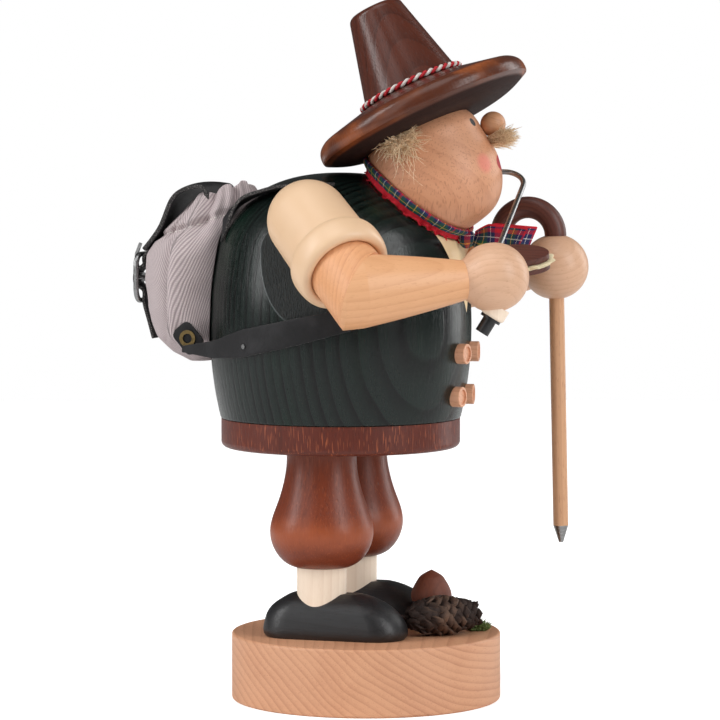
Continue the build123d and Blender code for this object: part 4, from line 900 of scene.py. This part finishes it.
def bag_place(u, v):
    """The bag's wall at a turn and height, with its gathers, folds and sagging mouth."""
    height = min(1.0, max(0.0, (v - bottom_share) / wall_share))
    end = min(1.0, v / bottom_share, (1 - v) / mouth_share)
    half, near, far = between(bag_rows, height)
    turn = 2 * pi * u
    side, back = cos(turn), sin(turn)
    x = half * bag_half * copysign(abs(side) ** squareness, side) * end ** 0.6
    x *= 1 - 0.3 * max(0.0, -back) ** 2 * eased(height, 0.2, 0.5)
    middle = bag_front + (near + far) / 2 * bag_depth
    y = middle + (far - near) / 2 * bag_depth * copysign(abs(back) ** squareness, back) * end ** 0.6
    above = height - gather_height(turn)
    waist = 0.0014 * exp(-(above / 0.03) ** 2)
    lobes = abs(sin(turn * 4.5 + 1.18))
    gathers = 0.0030 * eased(height, 0.60, 0.82) * (lobes - 0.75)
    gathers += 0.0008 * eased(above, -0.1, 0) * sin(turn * 19)
    gathers += 0.0010 * eased(above, 0.0, 0.05)
    ahead = between(fold_line, height)[0] - y
    if ahead > 0:
        fold = -0.0048 * exp(-ahead / 0.0012) + 0.0026 * exp(-ahead / 0.0080)
    else:
        fold = -0.0022 * exp(ahead / 0.0040)
    fold *= eased(height, 0.05, 0.22) * (1 - eased(height, 0.66, 0.80)) * abs(side) ** 0.5
    low_fold = 0.0012 * sin((y - 0.9 * height * 0.05) * 620) * eased(height, 0, 0.1)
    low_fold *= 1 - eased(height, 0.1, 0.3)
    crease = noise.noise(Vector((x, y, height * 0.07)) * 60) * 0.0018
    away = Vector((x, y - middle, 0))
    if away.length > 0.0001:
        away = away.normalized()
    side_drop = 0.085 * max(0.0, side) - 0.025 * max(0.0, -side)
    drop = (0.066 * (1 + back) + side_drop) * eased(height, 0.55, 1.0)
    drop += 0.16 * (1 - end) * eased(v, 0.90, 0.95)
    frill_rise = 0.035 * (lobes - 0.5) * eased(height, 0.8, 1.0)
    place = Vector((x, y, bag_bottom + (height - drop + frill_rise) * bag_height))
    place += away * (crease + gathers + fold + low_fold - waist) * end
    return clear_of_body(place, bag_gap)


bag = shaped_grid(230, 96, bag_place)
bmesh.ops.recalc_face_normals(bag, faces=bag.faces)
bag = new_piece("rucksack_bag", bag)
rounded = bag.modifiers.new("smooth", "SUBSURF")
rounded.levels = rounded.render_levels = 1
bag_round, bag_tall = 0.176, 0.108
rib_width, thread_width = 0.0013, 0.0009
twill, place = new_material("mauve_twill")
on_cloth = place.node("TexCoord", None, None, "UV").scaled(bag_round, bag_tall, 0)
slant = 0.62 - (on_cloth.part("X") / bag_round).step(0.470, 0.478) * 0.85
across = (on_cloth.part("X") * 0.95 + on_cloth.part("Y") * slant) / rib_width
rib = 1 - (across.fraction() - 0.5).unsigned() * 2
along = (on_cloth.part("Y") * 0.95 - on_cloth.part("X") * slant) / thread_width
along = along + across.maths("FLOOR", across) * 0.5
knots = (along.fraction() - 0.5).unsigned() * 2
weave = rib.step(0.1, 0.8) * (1 - knots.step(0.55, 1.0) * 0.5)
fade = place.scaled(80).clouds(3.0)
fuzz = place.scaled(2200).clouds()
colour = place.mix((150, 136, 138), (210, 196, 196), weave * 0.75 + fuzz * 0.2 + fade * 0.1)
coat(twill, weave + fuzz * 0.3, 0.00013, Base_Color=colour, Roughness=0.85)
fit_piece(bag, "pack_bag", "twill", twill)

# Bag's seam: white running stitches that close the bag under its frill. Each is a short
# arch of thread, its ends in the cloth.
bag_stitch_count = 64
stitches = []
for count in range(bag_stitch_count):
    turn = 2 * pi * count / bag_stitch_count
    across = bottom_share + wall_share * (gather_height(turn) - 0.004)
    ends = [bag_place(count / bag_stitch_count + step * 0.0045, across) for step in (-1, 0, 1)]
    out = Vector((cos(turn), sin(turn), 0)) * 0.00022
    stitches.append([ends[0], ends[1] + out, ends[2]])
thread = fibres("bag_stitches", stitches, 0.00024, sides=1)
thread_white = clouded("white_thread", [2000], 2.0, (240, 236, 230), (196, 190, 184), 0.7)
fit_piece(thread, "pack_bag", "twill", thread_white)

# Leather: the lid, its strap, the shoulder and side straps and the tabs are cut from black
# split leather, smooth on the face and fibrous grey along the cut edges.
leather_face, place = new_material("leather_face")
pebble = place.scaled(1100).clouds(3.0, 0.65)
worn = place.scaled(120).clouds(3.0)
colour = place.mix((19, 18, 20), (40, 39, 41), worn.step(0.35, 0.8))
coat(leather_face, pebble, 0.00012, Base_Color=colour, Roughness=0.5 + worn * 0.15, Specular_IOR_Level=0.32)
leather_edge, place = new_material("leather_edge")
fibre = place.scaled(2000).clouds(3.0, 0.7)
colour = place.mix((34, 33, 34), (132, 127, 124), fibre.step(0.48, 0.70))
coat(leather_edge, fibre, 0.0003, Base_Color=colour, Roughness=0.9)


def smooth_line(points, share):
    """A place on a smooth line through points, by its share of the way."""
    spans = len(points) - 1
    at = min(max(share, 0) * spans, spans - 0.000001)
    start = int(at)
    t = at - start
    a, b, c, d = (Vector(points[min(max(start + k, 0), spans)]) for k in (-1, 0, 1, 2))
    square = (2 * a - 5 * b + 4 * c - d) * t * t
    return 0.5 * (2 * b + (c - a) * t + square + (3 * b - a - 3 * c + d) * t ** 3)


def leather_piece(name, node, grid, thickness, mirrored=False):
    """Cuts a piece of leather from a grid, on the figure's right or on both its sides."""
    if mirrored:
        bmesh.ops.mirror(grid, geom=grid.verts[:] + grid.edges[:] + grid.faces[:], axis="X", merge_dist=-1)
    piece = new_piece(name, grid)
    thicken(piece, thickness, edge_slot=1, smooth=False)
    edge = piece.modifiers.new("edge", "BEVEL")
    edge.width = thickness * 0.18
    edge.segments = 2
    fit_piece(piece, node, "black_leather", leather_face, leather_edge)


lid_points = ((0, 0.0610, 0.1971), (0, 0.0631, 0.2039), (0, 0.0703, 0.2040), (0, 0.0766, 0.1998),
              (0, 0.0816, 0.1879), (0, 0.0879, 0.1785))
lid_half_width = 0.017
lid_curl = 0.0010


def lid_place(u, v):
    side = 2 * v - 1
    curl = lid_curl * side ** 2 * sin(pi * u)
    return smooth_line(lid_points, u) + Vector((side * lid_half_width, -curl, -curl))


leather_piece("rucksack_lid", "pack_lid", shaped_grid(48, 16, lid_place), 0.0018)

lid_strap_points = (
    (0, 0.0853, 0.1852), (0, 0.0892, 0.1793), (0, 0.09245, 0.1751), (0, 0.0926, 0.1720),
    (0, 0.0960, 0.1693), (0, 0.0962, 0.1643), (0, 0.0927, 0.1616), (0, 0.09245, 0.1565),
    (0, 0.0905, 0.1495), (0, 0.0885, 0.1423))
lid_strap_width = 0.009
lid_strap_grid = shaped_grid(
    60, 6, lambda u, v: smooth_line(lid_strap_points, u) + Vector(((v - 0.5) * lid_strap_width, 0, 0)))
leather_piece("lid_strap_leather", "lid_strap", lid_strap_grid, 0.0013)

strap_foot = Vector((-0.034, 0.005, 0))
strap_turn = Matrix.Rotation(radians(-14.5), 3, "Z")
strap_points = ((0, 0, 0.2054), (0, 0.0176, 0.2047), (0, 0.0290, 0.2024), (-0.0004, 0.0375, 0.1994),
                (-0.0022, 0.0430, 0.1938), (-0.0042, 0.0462, 0.1866))
strap_width = 0.010
strap_gap = 0.0010


def strap_place(u, v):
    """Flat over the shoulder; the end twists as it goes down between the bag and the body."""
    twist = radians(62) * eased(u, 0.55, 1.0)
    sideways = Vector((cos(twist), 0.3 * sin(twist), sin(twist))) * strap_width
    place = strap_foot + strap_turn @ (smooth_line(strap_points, u) + sideways * (v - 0.5))
    return clear_of_body(place, strap_gap) if u > 0.4 else place


shoulder_grid = shaped_grid(48, 8, strap_place)
leather_piece("shoulder_strap_leather", "shoulder_straps", shoulder_grid, 0.0014, mirrored=True)

# Straps' stitches: white thread along each shoulder strap's outer edge, in two groups
# with a bare stretch between them.
stitch_shares = (0.60, 0.645, 0.79, 0.835, 0.88)
edge_share = 0.16
stitch_lift = Vector((-0.0008, 0, 0.0008))
stitches = []
for share in stitch_shares:
    for side in (-1, 1):
        ends = [strap_place(share + step * 0.012, edge_share) + stitch_lift for step in (-1, 1)]
        stitches.append([Vector((-side * end.x, end.y, end.z)) for end in ends])
thread = fibres("strap_stitches", stitches, 0.00022, sides=1)
fit_piece(thread, "shoulder_straps", "black_leather", thread_white)

# Side straps and tabs: each strap runs from a nail on the body's side round to the bag's
# lower corner, where a small tab with an eyelet covers its end.
wrap_radius = 0.0531
start_y, leave_y, end_y = -0.009, 0.03467, 0.0660
leave_x, end_x = -0.04733, -0.0314
side_top, side_fall = 0.1583, 0.0195
# Rows: a share of the strap's length, and how far its lower and upper edge have fallen there
side_falls = ((0, 0.45, 0), (0.27, 0.74, 0.2), (0.6, 1.03, 0.47), (0.79, 1.08, 0.73), (1, 1, 0.87))


def side_strap_place(u, v):
    """Round the body as far as it touches, then straight to the bag."""
    low, high = between(side_falls, u)
    y = start_y + 0.075 * u
    if y < leave_y:
        x = -sqrt(wrap_radius ** 2 - (y - body_middle_y) ** 2)
    else:
        x = leave_x + (end_x - leave_x) * (y - leave_y) / (end_y - leave_y)
    return Vector((x, y, side_top - side_fall * (low + (high - low) * v)))


side_grid = shaped_grid(80, 8, side_strap_place)
leather_piece("side_strap_leather", "side_straps", side_grid, 0.0014, mirrored=True)

tab_place = Matrix.Translation((-0.0289, 0.0646, 0.1442))
tab_place @= Matrix(((0, 0, -1, 0), (1, 0, 0, 0), (0, 1, 0, 0), (0, 0, 0, 1)))
tab_place @= Matrix.Rotation(radians(50), 4, "Z")
tab = bmesh.new()
bmesh.ops.create_grid(tab, x_segments=1, y_segments=1, size=0.5)
bmesh.ops.scale(tab, verts=tab.verts, vec=(0.012, 0.009, 1))
bmesh.ops.bevel(tab, geom=tab.verts[:], offset=0.0024, segments=4, profile=0.5, affect="VERTICES",
                material=-1)
bmesh.ops.transform(tab, verts=tab.verts, matrix=tab_place)
leather_piece("strap_tab_leather", "strap_tabs", tab, 0.0016, mirrored=True)

# Eyelets: rings of rolled brass, pressed into the tabs on the bag's lower corners and
# darkened by age.
brass = clouded("brass", [600], 3.0, (150, 128, 84), (84, 70, 48), 0.3, 0.2, Metallic=1.0)
dress(brass, "tab_eyelets")
